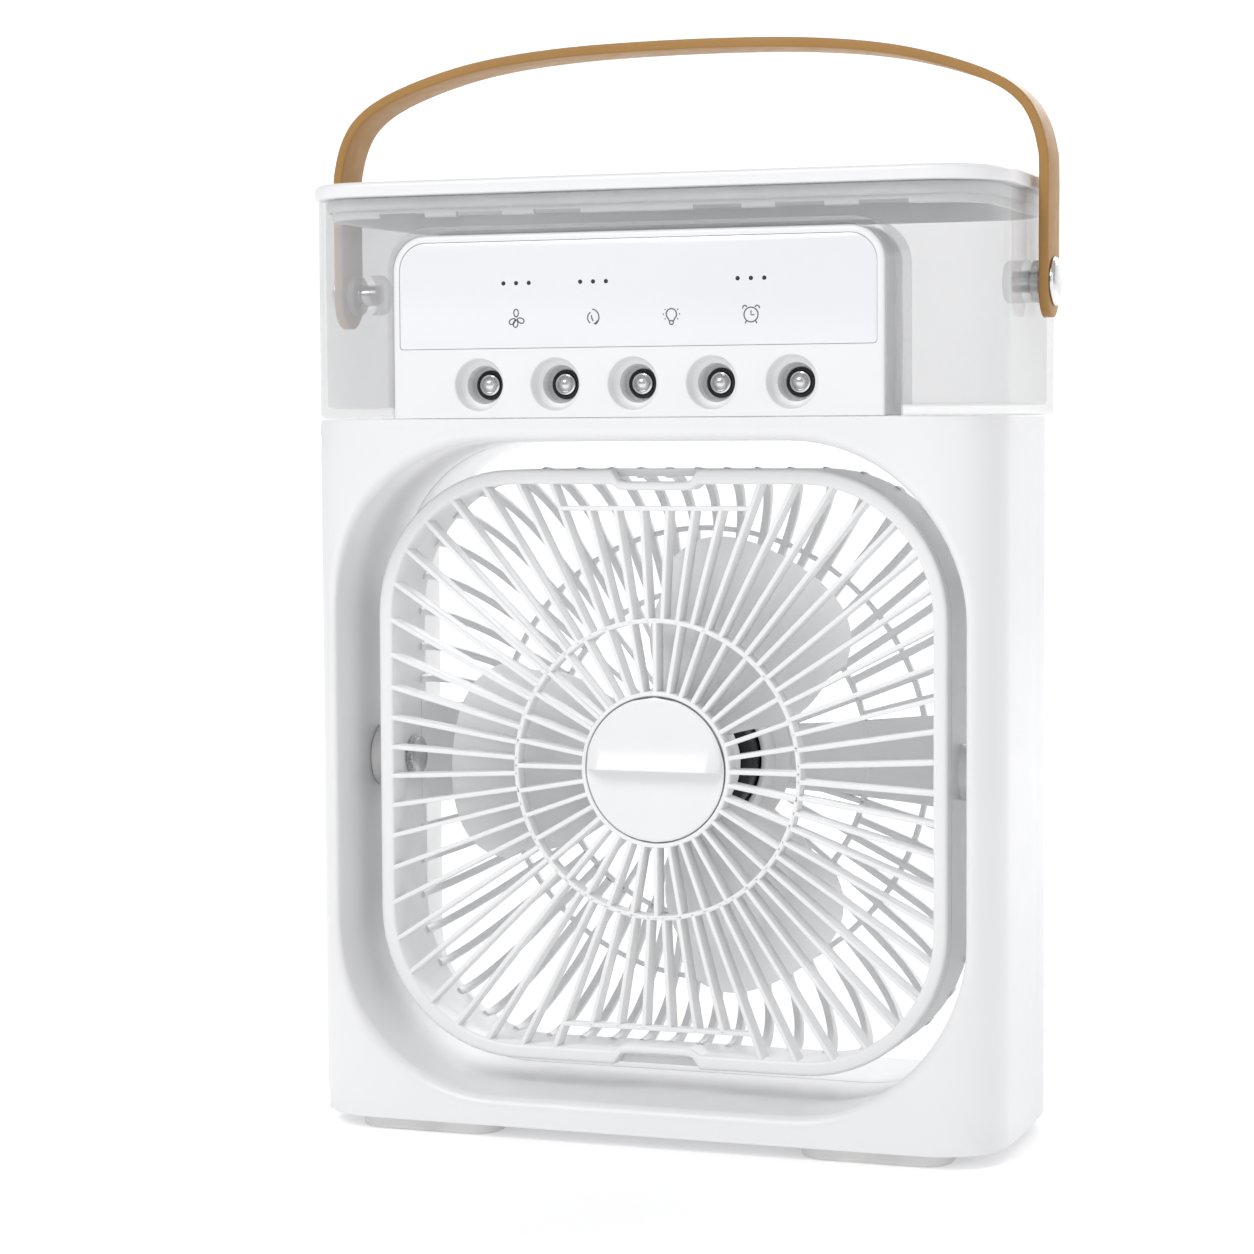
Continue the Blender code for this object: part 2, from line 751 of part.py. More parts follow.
def spoke_gap(first, last, width, inner, outer, steps):
    """The gap between two spokes, from the inner radius to the outer reach, both functions of the angle."""

    def edge_point(angle, side, limit):
        offset = side * width / 2
        bearing = angle
        for _ in range(8):
            distance = limit(bearing)
            bearing = angle + math.asin(offset / distance)
        return bearing

    points = []
    for limit, order in ((inner, 1), (outer, -1)):
        start = edge_point(first, 1, limit)
        stop = edge_point(last, -1, limit)
        ring = []
        for step in range(steps + 1):
            bearing = start + (stop - start) * step / steps
            distance = limit(bearing)
            ring.append((MIDDLE + distance * math.cos(bearing), CENTRE_Z + distance * math.sin(bearing)))
        points += ring[::order]
    return points


def bar_span():
    """Half the angle that the crossbars cover, measured from straight up."""
    return (CROSSBAR_RIBS - 0.5) * 2 * math.pi / OUTER_RIBS


def grille_gaps():
    half_a = HEAD_HALF_WIDTH - RIM_WIDTH
    half_b = HEAD_HALF_HEIGHT - RIM_WIDTH
    corner = HEAD_CORNER - RIM_WIDTH
    bar = HEAD_HALF_HEIGHT - CROSSBAR_SETBACK

    def ring_inner(_):
        return RING_RADIUS - RING_WIDTH

    def outer_limit(bearing):
        distance = reach(bearing, half_a, half_b, corner)
        from_upright = abs((bearing % math.pi) - math.pi / 2)
        if from_upright < bar_span():
            distance = min(distance, (bar - RIB_WIDTH / 2) / abs(math.sin(bearing)))
        return distance

    gaps = []
    pitch = 2 * math.pi / INNER_RIBS
    for index in range(INNER_RIBS):
        start = index * pitch
        gaps.append(spoke_gap(start, start + pitch, RIB_WIDTH, lambda _: HUB_RADIUS, ring_inner, 1))
    pitch = 2 * math.pi / OUTER_RIBS
    for index in range(OUTER_RIBS):
        start = (index + 0.5) * pitch
        gaps.append(spoke_gap(start, start + pitch, RIB_WIDTH, lambda _: RING_RADIUS, outer_limit, 1))
    for sign in (1, -1):
        slope = math.tan(bar_span())
        low = bar + RIB_WIDTH / 2
        notch = FINGER_NOTCH_HALF
        dip = half_b - FINGER_NOTCH_DEPTH / 2
        side = RIB_WIDTH / 2 / math.cos(bar_span())
        outline = [(-low * slope + side, low), (low * slope - side, low), (half_b * slope - side, half_b),
                   (notch + 0.002, half_b), (notch, dip), (-notch, dip), (-notch - 0.002, half_b),
                   (-half_b * slope + side, half_b)]
        gaps.append([(MIDDLE + x, CENTRE_Z + sign * z) for x, z in outline])
    return gaps


def rim_outline():
    """The head's front outline, with a finger notch at the middle of its top and bottom edges."""
    points = [(x, z - CENTRE_Z) for x, z in head_outline(0.0)]
    steps = len(points) // 4
    top = HEAD_HALF_HEIGHT
    notch = FINGER_NOTCH_HALF
    slant = 0.0026
    dip = top - FINGER_NOTCH_DEPTH
    upper = [(notch, top), (notch - slant, dip), (slant - notch, dip), (-notch, top)]
    lower = [(-x, -z) for x, z in upper]
    outline = points[:steps] + upper + points[steps:3 * steps] + lower + points[3 * steps:]
    return [(x, z + CENTRE_Z) for x, z in outline]


def build_front_grille():
    paint = white_plastic("front_grille")
    back_y = HEAD_FRONT_Y + GRILLE_DEPTH
    grille = loft(
        "front_grille", [upright(rim_outline(), HEAD_FRONT_Y), upright(rim_outline(), back_y)], paint
    )
    ahead = HEAD_FRONT_Y - BEYOND
    gaps = []
    for index, gap in enumerate(grille_gaps()):
        gaps.append(loft(f"grille_gap_{index}", [upright(gap, ahead), upright(gap, back_y + BEYOND)]))
    outer = head_outline(-HEAD_WALL - GAP)
    inner = head_outline(-HEAD_WALL - GAP - GRILLE_SKIRT_WALL)
    skirt = loft(
        "grille_skirt", [upright(outer, back_y - 0.001), upright(outer, back_y + GRILLE_SKIRT_LENGTH)]
    )
    inside = loft("grille_skirt_inside", [upright(inner, ahead), upright(inner, back_y + 2 * BEYOND)])
    cut(skirt, inside)
    front = (MIDDLE, ahead, CENTRE_Z)
    seat = rod("cap_seat", Y_AXIS, front, BEYOND + CAP_SEAT_DEPTH, CAP_RADIUS + GAP, sides=32)
    stem = rod("cap_stem_hole", Y_AXIS, front, 3 * BEYOND, CAP_STEM + GAP)
    join(grille, skirt)
    return cut(grille, merged("grille_gaps", gaps), seat, stem)


def build_hub_cap():
    face = HEAD_FRONT_Y - CAP_FACE
    bottom = HEAD_FRONT_Y + CAP_SEAT_DEPTH - GAP
    end = HEAD_FRONT_Y + GRILLE_DEPTH - GAP
    radius = CAP_RADIUS
    depth = bottom - face
    profile = [(0, depth), (radius - 0.0008, depth), (radius, depth - 0.0006), (radius, 0), (CAP_STEM, 0),
               (CAP_STEM, bottom - end), (0, bottom - end)]
    cap = turned("hub_cap", -Y_AXIS, (MIDDLE, bottom, CENTRE_Z), profile, white_plastic("hub_cap"), sides=32)
    rings = []
    half_fin = [(radius - 0.0012, 0.0002), (radius - 0.003, FIN_HEIGHT * 0.8), (radius / 2, FIN_HEIGHT)]
    for x, height in [(-x, height) for x, height in half_fin] + half_fin[::-1]:
        rings.append([
            (x, face + 0.0005, CENTRE_Z - 0.0012),
            (x, face - height, CENTRE_Z - 0.0004),
            (x, face - height, CENTRE_Z + 0.0006),
            (x, face - height * 0.25, CENTRE_Z + 0.003),
            (x, face + 0.0005, CENTRE_Z + 0.008),
        ])
    return join(cap, loft("hub_cap_fin", rings))


def rear_rings(inset, front_y, depth_inset):
    """Sections of the head's rear cage: straight sides, then a quarter turn in to the flat back."""
    rise = HEAD_BACK_Y - HEAD_SIDE_END_Y - depth_inset
    rings = [upright(head_outline(-inset), front_y), upright(head_outline(-inset), HEAD_SIDE_END_Y)]
    for step in (1, 2, 3):
        angle = math.pi / 2 * step / 3
        pull = inset + (HEAD_BACK_INSET - inset * 0.4) * (1 - math.cos(angle))
        corner = max(HEAD_CORNER - pull, 0.012)
        outline = rounded_outline(
            HEAD_HALF_WIDTH - pull, HEAD_HALF_HEIGHT - pull, corner, 6, (MIDDLE, CENTRE_Z)
        )
        rings.append(upright(outline, HEAD_SIDE_END_Y + rise * math.sin(angle)))
    return rings


def rear_gap_bodies():
    bodies = []
    pitch = 2 * math.pi / REAR_RIBS
    arm = math.asin(ARM_HALF_WIDTH / REAR_RING_RADIUS)
    rings = ((REAR_HUB_RADIUS, REAR_RING_RADIUS - RING_WIDTH / 2), (REAR_RING_RADIUS + RING_WIDTH / 2, None))
    for band, (inner, outer) in enumerate(rings):
        for index in range(REAR_RIBS):
            start = (index + 0.5) * pitch
            if abs(math.sin(start + pitch / 2)) < math.sin(arm + pitch * 0.4):
                continue

            def limit(bearing, fixed=outer):
                half_a = HEAD_HALF_WIDTH - HEAD_WALL
                half_b = HEAD_HALF_HEIGHT - HEAD_WALL
                return fixed or reach(bearing, half_a, half_b, HEAD_CORNER - HEAD_WALL) - REAR_GAP_INSET

            gap = spoke_gap(start, start + pitch, REAR_RIB_WIDTH, lambda _, near=inner: near, limit, 1)
            ends = [upright(gap, HEAD_SIDE_END_Y + 0.002), upright(gap, HEAD_BACK_Y + BEYOND)]
            bodies.append(loft(f"rear_gap_{band}_{index}", ends))
    return merged("rear_gaps", bodies)


def motor_screw_places():
    angles = [math.radians(90 + 120 * k) for k in range(3)]
    return [
        (MIDDLE + MOTOR_SCREW_CIRCLE * math.cos(angle), CENTRE_Z + MOTOR_SCREW_CIRCLE * math.sin(angle))
        for angle in angles
    ]


def build_head_shell():
    front_y = HEAD_FRONT_Y + GRILLE_DEPTH + GAP
    shell = loft("head_shell", rear_rings(0.0, front_y, 0.0), white_plastic("head_shell"))
    hollow = loft("head_shell_hollow", rear_rings(HEAD_WALL, front_y - 0.01, HEAD_WALL))
    cut(shell, hollow, rear_gap_bodies())
    inner = MOTOR_RADIUS + GAP
    outer = inner + MOTOR_CUP_WALL
    profile = [(inner, MOTOR_CUP_LENGTH), (outer, MOTOR_CUP_LENGTH), (outer, 0), (inner, 0)]
    cup_start = (MIDDLE, HEAD_BACK_Y - MOTOR_CUP_LENGTH - 0.001, CENTRE_Z)
    join(shell, turned("motor_cup", Y_AXIS, cup_start, profile, sides=24, closed=True))
    drills = []
    for k, (x, z) in enumerate(motor_screw_places()):
        start = (x, HEAD_BACK_Y - 0.006, z)
        drills.append(rod(f"motor_drill_{k}", Y_AXIS, start, DRILL_LENGTH, MOTOR_SCREW_HOLE, sides=12))
    cut(shell, merged("motor_drills", drills))
    length = HEAD_GAP - BUSH_FLANGE_DEPTH - 2 * GAP
    for side in (-1, 1):
        outward = X_AXIS * side
        start_x = side * (HEAD_HALF_WIDTH - 0.001)
        boss = rod(
            f"head_boss_{side}", outward, (start_x, PIVOT_Y, CENTRE_Z), length + 0.001, HEAD_BOSS_RADIUS
        )
        start_x = side * (HEAD_HALF_WIDTH - 0.006)
        hole = rod(f"head_boss_hole_{side}", outward, (start_x, PIVOT_Y, CENTRE_Z), DRILL_LENGTH, BUSH_BORE)
        join(shell, boss)
        cut(shell, hole)
    return shell


def build_motor():
    back = HEAD_BACK_Y - HEAD_WALL - GAP
    length = back - MOTOR_FRONT_Y
    radius = MOTOR_RADIUS
    bore = SHAFT_RADIUS + RUN_GAP
    face = length - 0.0015
    profile = [(bore, length), (0.004, length), (0.004, face), (radius - 0.002, face), (radius, face - 0.002),
               (radius, 0), (0, 0), (0, length - MOTOR_BORE_DEPTH), (bore, length - MOTOR_BORE_DEPTH)]
    start = (MIDDLE, back, CENTRE_Z)
    can = turned("motor_can", -Y_AXIS, start, profile, dark_plastic("motor_can"), sides=24, closed=True)
    drills = []
    for k, (x, z) in enumerate(motor_screw_places()):
        drills.append(rod(f"can_drill_{k}", Y_AXIS, (x, back - 0.005, z), BEYOND, 0.0015, sides=12))
    cut(can, merged("can_drills", drills))
    screws = []
    for k, (x, z) in enumerate(motor_screw_places()):
        head = MOTOR_SCREW_HEAD
        shank = MOTOR_SCREW_SHANK
        length = MOTOR_SCREW_LENGTH
        profile = [(0, 0.0015), (head * 0.7, 0.0015), (head, 0.0006), (head, 0), (shank, 0),
                   (shank, 0.0005 - length), (0, -length)]
        start = (x, HEAD_BACK_Y + GAP, z)
        paint = bright_steel("motor_screw")
        screws.append(turned(f"motor_screw_{k + 1}", Y_AXIS, start, profile, paint, sides=10))
    return [can, *screws]


def blade(index):
    """One broad swept blade: an airfoil-thin sheet, rounded at its tip and twisted from hub to rim."""
    middle = BLADE_PHASE + index * 2 * math.pi / BLADES
    across = BLADE_COLUMNS
    outward = BLADE_ROWS
    start = SPINNER_RADIUS - BLADE_ROOT_OVERLAP
    centre_y = (BLADE_BACK_Y + BLADE_FRONT_Y) / 2
    half_sweep = (BLADE_BACK_Y - BLADE_FRONT_Y) / 2
    bm = bmesh.new()
    sheets = []
    for face in (0, 1):
        grid = []
        for row in range(outward + 1):
            out = row / outward
            cells = []
            for column in range(across + 1):
                side = 2 * column / across - 1
                tip = TIP_RADIUS * (1 - 0.16 * abs(side) ** 4)
                radius = start + (tip - start) * out
                spread = BLADE_HALF_ANGLE * (0.78 + 0.22 * math.sin(math.pi * min(out * 1.15, 1.0)))
                angle = middle + side * spread
                y = centre_y - side * half_sweep * (1 - 0.35 * out) + face * BLADE_THICKNESS
                cells.append(bm.verts.new((radius * math.cos(angle), y, CENTRE_Z + radius * math.sin(angle))))
            grid.append(cells)
        sheets.append(grid)
    front, back = sheets
    for row in range(outward):
        for column in range(across):
            for grid in sheets:
                near = grid[row]
                far = grid[row + 1]
                bm.faces.new((near[column], near[column + 1], far[column + 1], far[column]))
    border = [(0, c) for c in range(across)] + [(r, across) for r in range(outward)]
    border += [(outward, c) for c in range(across, 0, -1)] + [(r, 0) for r in range(outward, 0, -1)]
    for here, after in zip(border, border[1:] + border[:1]):
        quad = (
            front[here[0]][here[1]], front[after[0]][after[1]], back[after[0]][after[1]], back[here[0]][here[1]]
        )
        bm.faces.new(quad)
    return add_object(f"blade_{index}", mesh_from(bm, f"blade_{index}"))


def build_impeller():
    front = BLADE_FRONT_Y - SPINNER_PROUD
    back = MOTOR_FRONT_Y - SPINNER_MOTOR_GAP
    length = back - front
    inner = SPINNER_RADIUS - SPINNER_WALL
    floor = length - 0.0035
    bore = SHAFT_RADIUS + PRESS_GAP
    profile = [(bore, length), (SPINNER_RADIUS - 0.003, length), (SPINNER_RADIUS, length - 0.003),
               (SPINNER_RADIUS, 0),
               (inner, 0), (inner, floor), (SPINNER_COLLAR, floor), (SPINNER_COLLAR, 0.004), (bore, 0.004)]
    paint = material("impeller", (0.66, 0.67, 0.68), 0.4)
    hub = turned("impeller", -Y_AXIS, (MIDDLE, back, CENTRE_Z), profile, paint, sides=24, closed=True)
    join(hub, *[blade(index) for index in range(BLADES)])
    start_y = front - SHAFT_PROUD
    length = MOTOR_FRONT_Y + SHAFT_SEAT - start_y
    shaft = rod(
        "motor_shaft", Y_AXIS, (MIDDLE, start_y, CENTRE_Z), length, SHAFT_RADIUS, bright_steel("motor_shaft")
    )
    nut_side = NUT_RADIUS - 0.001
    nut_profile = [
        (bore, NUT_HEIGHT), (nut_side, NUT_HEIGHT), (NUT_RADIUS, NUT_HEIGHT - 0.001), (NUT_RADIUS, 0), (bore, 0)
    ]
    paint = dark_plastic("spinner_nut")
    nut = turned("spinner_nut", -Y_AXIS, (MIDDLE, front - GAP, CENTRE_Z), nut_profile, paint, closed=True)
    return [hub, shaft, nut]


# ---------------------------------------------------------------- control panel and nozzles


def panel_outline(grow, bottom):
    """The panel seen from the front, rounded at its top corners only."""
    half = PANEL_HALF_WIDTH + grow
    top = PANEL_TOP + grow
    corner = PANEL_CORNER + grow
    middle = (top + bottom) / 2
    square = 0.0001
    return varied_outline(half, (top - bottom) / 2, [corner, corner, square, square], 6, (MIDDLE, middle))


def nozzle_cone(name, x, grow):
    """The stepped recess round one nozzle."""
    front = -HALF_DEPTH
    mouth = NOZZLE_MOUTH_RADIUS + grow
    seat = NOZZLE_SEAT_RADIUS + grow
    deep = NOZZLE_DEPTH + grow
    step = [] if grow else [(seat + 0.0002, 0.0062), (seat + 0.0012, 0.0060)]
    profile = [(0, deep), (seat, deep), *step, (mouth, 0.0), (mouth, -0.004), (0, -0.004)]
    return turned(name, Y_AXIS, (x, front, NOZZLE_Z), profile, sides=16)


def build_control_panel():
    front = -HALF_DEPTH
    soft = EDGE
    outer = panel_outline(0.0, PANEL_BOTTOM)
    inner = panel_outline(-WALL, PANEL_BOTTOM + WALL)
    rings = [upright(panel_outline(-soft, PANEL_BOTTOM), front), upright(outer, front + soft),
             upright(outer, PANEL_BACK_Y)]
    panel = loft("control_panel", rings, white_plastic("control_panel"))
    hollow = loft("panel_hollow", [upright(inner, front + WALL), upright(inner, PANEL_BACK_Y + BEYOND)])
    for index, x in enumerate(NOZZLE_X):
        cut(hollow, nozzle_cone(f"nozzle_cup_{index}", x, CUP_WALL))
    cut(panel, hollow)
    for index, x in enumerate(NOZZLE_X):
        cut(panel, nozzle_cone(f"nozzle_recess_{index}", x, 0.0))
    cut(panel, seal_holes("seal_holes", SEAT_Y - 0.002, DRILL_LENGTH))
    seat = plate_outline(GAP)
    recess = loft(
        "plate_recess", [upright(seat, front - BEYOND), upright(seat, front + PLATE_THICKNESS + GAP)]
    )
    cable = box(
        "panel_cable_way",
        (0.003 - CABLE_HALF_WIDTH, PANEL_BACK_Y - CABLE_FRONT, PANEL_BOTTOM - BEYOND),
        (CABLE_HALF_WIDTH - 0.003, PANEL_BACK_Y - CABLE_BACK, PANEL_BOTTOM + WALL + 0.001),
    )
    return cut(panel, recess, cable)


def seal_holes(name, start_y, length):
    """One cutter for the five holes that the nozzle seals pass through."""
    drills = []
    for index, x in enumerate(NOZZLE_X):
        drills.append(
            rod(f"{name}_{index}", Y_AXIS, (x, start_y, NOZZLE_Z), length, SEAL_BODY + GAP, sides=12)
        )
    return merged(name, drills)


def build_back_cover():
    """The plate that closes the panel's open back, in front of the tank."""
    outline = panel_outline(-WALL - GAP, PANEL_BOTTOM + WALL + GAP)
    front = PANEL_BACK_Y - COVER_THICKNESS
    cover = loft("panel_back_cover", [upright(outline, front), upright(outline, PANEL_BACK_Y)],
                 white_plastic("panel_back_cover"))
    return cut(cover, seal_holes("cover_holes", front - BEYOND, 2 * BEYOND))


def plate_outline(grow):
    half = PANEL_HALF_WIDTH - PLATE_MARGIN + grow
    top = PANEL_TOP - PLATE_MARGIN + grow
    bottom = PLATE_BOTTOM - grow
    corner = PANEL_CORNER - PLATE_MARGIN + grow
    small = 0.0012 + grow
    return varied_outline(
        half, (top - bottom) / 2, [corner, corner, small, small], 5, (MIDDLE, (top + bottom) / 2)
    )


def build_nozzles():
    made = []
    seal_end = PANEL_BACK_Y + NOTCH_GAP + TANK_WALL + SEAL_PAST_WALL
    dark = material("nozzle_seal", (0.02, 0.02, 0.022), 0.6)
    fibre = material("wick", (0.85, 0.84, 0.8), 0.9)
    for index, x in enumerate(NOZZLE_X):
        start = (x, SEAL_FRONT_Y, NOZZLE_Z)
        length = seal_end - SEAL_FRONT_Y
        collar = SEAT_Y - GAP - SEAL_FRONT_Y
        seat = NOZZLE_RADIUS + 0.0002
        profile = [(SEAL_BORE, length), (SEAL_BODY, length), (SEAL_BODY, collar), (SEAL_COLLAR, collar),
                   (SEAL_COLLAR, 0.0004), (SEAL_COLLAR - 0.0004, 0), (seat, 0), (seat, 0.0008),
                   (SEAL_BORE, 0.0008)]
        made.append(turned(f"nozzle_seal_{index + 1}", Y_AXIS, start, profile, dark, sides=12, closed=True))
        radius = NOZZLE_RADIUS
        dome = [(0, 0.0006), (radius, 0.0006), (radius, 0.0), (radius * 0.6, -0.0011), (0, -0.0015)]
        made.append(
            turned(f"mist_nozzle_{index + 1}", Y_AXIS, start, dome, bright_steel("mist_nozzle"), sides=12)
        )
        wick_front = SEAL_FRONT_Y + 0.0009 + GAP
        length = seal_end + WICK_REACH - wick_front
        start = (x, wick_front, NOZZLE_Z)
        made.append(rod(f"wick_{index + 1}", Y_AXIS, start, length, WICK_RADIUS, fibre, sides=10))
    return made


def build_boards():
    green = material("circuit_board", (0.03, 0.16, 0.07), 0.45)
    low_z = NOZZLE_Z + NOZZLE_MOUTH_RADIUS + CUP_WALL + 0.002
    front = -HALF_DEPTH + WALL + BOARD_STANDOFF
    back = front + BOARD_THICKNESS
    half = PANEL_HALF_WIDTH - WALL - BOARD_MARGIN
    board = box("circuit_board", (-half, front, low_z), (half, back, PANEL_TOP - WALL - BOARD_MARGIN), green)
    middle = low_z + 0.012
    for index, (x, size, tall) in enumerate(CHIPS):
        low = (x - size / 2, front + 0.001, middle - size / 3)
        high = (x + size / 2, back + tall, middle + size / 3)
        join(board, box(f"chip_{index}", low, high))
    top = BODY_TOP - WALL - GAP
    low = (-LED_BOARD_HALF_WIDTH, LED_BOARD_Y - LED_BOARD_HALF_DEPTH, top - LED_BOARD_THICKNESS)
    high = (LED_BOARD_HALF_WIDTH, LED_BOARD_Y + LED_BOARD_HALF_DEPTH, top)
    return [board, box("led_board", low, high, material("led_board", (0.8, 0.82, 0.84), 0.4))]


def build_face_plate():
    front = -HALF_DEPTH
    rings = [upright(plate_outline(-0.0003), front), upright(plate_outline(0.0), front + 0.0003),
             upright(plate_outline(0.0), front + PLATE_THICKNESS)]
    return loft("control_face_plate", rings, material("control_face_plate", (0.84, 0.86, 0.88), 0.15))


# ---------------------------------------------------------------- tank and lid


def notch_block(name, grow):
    bottom = BODY_TOP - 0.01
    grown = NOTCH_GAP + grow
    outline = panel_outline(grown, bottom)
    return loft(name, [upright(outline, -HALF_DEPTH - 0.01), upright(outline, PANEL_BACK_Y + grown)])


def build_tank():
    soft = EDGE
    rings = [level(tank_outline(soft), TANK_BOTTOM), level(tank_outline(0.0), TANK_BOTTOM + soft),
             level(tank_outline(0.0), TANK_TOP)]
    clear = material("water_tank", (0.86, 0.89, 0.9), 0.04, alpha=0.3, transmission=1.0)
    tank = loft("water_tank", rings, clear)
    inner = tank_outline(TANK_WALL)
    hollow = loft("tank_hollow", [level(inner, TANK_BOTTOM + TANK_FLOOR), level(inner, TANK_TOP + BEYOND)])
    cut(hollow, notch_block("tank_notch_wall", TANK_WALL))
    cut(tank, hollow, notch_block("tank_notch", 0.0))
    blind = HALF_WIDTH - RIVET_BLIND
    floor = 0.002
    for side in (-1, 1):
        outward = X_AXIS * side
        start = (side * (blind - floor), MIDDLE, HANDLE_Z)
        pad = rod(f"rivet_pad_{side}", outward, start, RIVET_BLIND + floor / 2, RIVET_PAD)
        start = (side * blind, MIDDLE, HANDLE_Z)
        hole = rod(f"rivet_hole_{side}", outward, start, DRILL_LENGTH, RIVET_SHANK + RUN_GAP)
        join(tank, pad)
        cut(tank, hole)
    return cut(tank, seal_holes("tank_seal_holes", PANEL_BACK_Y - 0.004, 0.008))


def build_lid():
    soft = LID_SOFT
    edge = -LID_OVERHANG
    rings = [
        level(tank_outline(edge + 0.0004), LID_BOTTOM),
        level(tank_outline(edge), LID_BOTTOM + 0.0004),
        level(tank_outline(edge), OVERALL_TOP - soft),
        level(tank_outline(edge + soft * 0.3), OVERALL_TOP - soft * 0.4),
        level(tank_outline(edge + soft), OVERALL_TOP),
    ]
    lid = loft("tank_lid", rings, white_plastic("tank_lid"))
    outer = TANK_WALL + SKIRT_GAP
    inner = outer + SKIRT_WALL
    low = LID_BOTTOM - SKIRT_DEPTH
    high = LID_BOTTOM + 0.001
    skirt = loft("lid_skirt", [level(tank_outline(outer), low), level(tank_outline(outer), high)])
    inside = loft(
        "lid_skirt_inside", [level(tank_outline(inner), low - BEYOND), level(tank_outline(inner), high + GAP)]
    )
    cut(skirt, inside)
    join(lid, skirt)
    slots = []
    half = SKIRT_SLOT_LENGTH / 2
    for index in (-3, -2, -1, 1, 2, 3):
        x = index * SKIRT_SLOT_PITCH
        corner = (x - half, -HALF_DEPTH, low - BEYOND)
        slots.append(
            box(f"skirt_slot_{index}", corner, (x + half, outer + inner - HALF_DEPTH, low + SKIRT_SLOT_HEIGHT))
        )
    cut(lid, merged("skirt_slots", slots))
    gasket_in = tank_outline(outer - GAP)
    gasket_out = tank_outline(TANK_WALL + GAP)
    low = LID_BOTTOM - GASKET_DROP
    high = LID_BOTTOM - GAP
    rings = [
        level(gasket_in, low), level(gasket_out, low + 0.0006), level(gasket_out, high), level(gasket_in, high)
    ]
    gasket = loft("lid_gasket", rings, material("lid_gasket", (0.8, 0.82, 0.83), 0.5), closed=True)
    return [lid, gasket]


# ---------------------------------------------------------------- handle


def arch_points():
    """The strap's outer line from the right rivet's level up and over to the middle, as (X, Z)."""
    top = OVERALL_TOP + HANDLE_RISE
    half = ARM_OUTER_X
    spine = [(half, HANDLE_Z), (half, top - 0.0385), (half - 0.0006, top - 0.0330),
             (half - 0.0022, top - 0.0270),
             (half - 0.0052, top - 0.0212), (half - 0.0098, top - 0.0166), (half - 0.0158, top - 0.0130),
             (half - 0.0230, top - 0.0100), (half - 0.0330, top - 0.0068), (half - 0.0450, top - 0.0040),
             (half - 0.0600, top - 0.0019), (half - 0.0800, top - 0.0005), (0.0, top)]
    return spine


def build_handle():
    right = arch_points()
    tip = HANDLE_Z - HANDLE_END
    round_end = HANDLE_WIDTH / 2
    stations = []
    for step in range(6):
        turn = math.pi / 2 * (step + 0.35) / 5.35
        stations.append((ARM_OUTER_X, tip + round_end * (1 - math.cos(turn)), round_end * math.sin(turn)))
    line = [(x, z, round_end) for x, z in right]
    half_path = stations + line
    path = half_path + [(-x, z, width) for x, z, width in reversed(half_path[:-1])]
    rings = []
    for index, (x, z, width) in enumerate(path):
        before = path[max(index - 1, 0)]
        after = path[min(index + 1, len(path) - 1)]
        run = Vector((after[0] - before[0], 0, after[1] - before[1])).normalized()
        inward = Vector((-run.z, 0, run.x)) * HANDLE_THICKNESS
        outer = Vector((x, 0, z))
        inner = outer + inward
        soft = min(0.0005, width * 0.3)
        rings.append([
            outer + Vector((0, -width + soft, 0)), outer + Vector((0, width - soft, 0)),
            outer + inward * 0.2 + Vector((0, width, 0)), inner - inward * 0.2 + Vector((0, width, 0)),
            inner + Vector((0, width - soft, 0)), inner + Vector((0, -width + soft, 0)),
            inner - inward * 0.2 + Vector((0, -width, 0)), outer + inward * 0.2 + Vector((0, -width, 0)),
        ])
    strap = loft("handle_strap", rings, material("handle_strap", (0.48, 0.26, 0.08), 0.55))
    hole = rod("strap_holes", X_AXIS, (-0.2, MIDDLE, HANDLE_Z), 0.4, RIVET_SHANK + GAP)
    cut(strap, hole)
    made = [strap]
    seat = ARM_OUTER_X + GAP
    radius = RIVET_RADIUS
    cap = RIVET_CAP_HEIGHT
    end = HALF_WIDTH - RIVET_BLIND + GAP - seat
    rivet = [(0, cap), (radius * 0.45, cap * 0.93), (radius * 0.8, cap * 0.62), (radius, cap * 0.15),
             (radius, 0), (RIVET_SHANK, 0), (RIVET_SHANK, end), (0, end)]
    thick = HANDLE_SIDE_GAP - 2 * GAP
    bore = RIVET_SHANK + GAP
    washer = [(bore, thick), (WASHER_RADIUS, thick), (WASHER_RADIUS, 0), (bore, 0)]
    for side, hand in ((-1, "left"), (1, "right")):
        outward = X_AXIS * side
        start = (side * seat, MIDDLE, HANDLE_Z)
        made.append(turned(f"handle_rivet_{hand}", outward, start, rivet, bright_steel("handle_rivet")))
        start = (side * (HALF_WIDTH + GAP), MIDDLE, HANDLE_Z)
        paint = white_plastic("handle_washer")
        made.append(turned(f"handle_washer_{hand}", outward, start, washer, paint, closed=True))
    return made


# ---------------------------------------------------------------- assembly

clear_scene()
PIECES = new_collection("desktop_cooling_fan", False)
CUTTERS = new_collection("cutters", True)

OPENING = loft("fan_opening", opening_rings(0.0, -HALF_DEPTH - 0.01, HALF_DEPTH + 0.01))
build_front_frame(OPENING)
build_rear_frame(OPENING)
build_power_inlet()
build_shell_screws()
build_feet()
build_control_panel()
build_back_cover()
build_face_plate()
build_boards()
build_nozzles()
build_tank()
LID_PIECES = build_lid()
HANDLE_PIECES = build_handle()
BUSHES, PINS = build_pivots()
HEAD_PIECES = [build_front_grille(), build_hub_cap(), build_head_shell(), *build_motor(), *PINS]
IMPELLER_PIECES = build_impeller()
HEAD_ORIGIN = ride("head_tilt_origin", (MIDDLE, PIVOT_Y, CENTRE_Z), HEAD_PIECES)
ride("impeller_origin", (MIDDLE, MIDDLE, CENTRE_Z), IMPELLER_PIECES, HEAD_ORIGIN)
ride("handle_origin", (MIDDLE, MIDDLE, HANDLE_Z), HANDLE_PIECES)
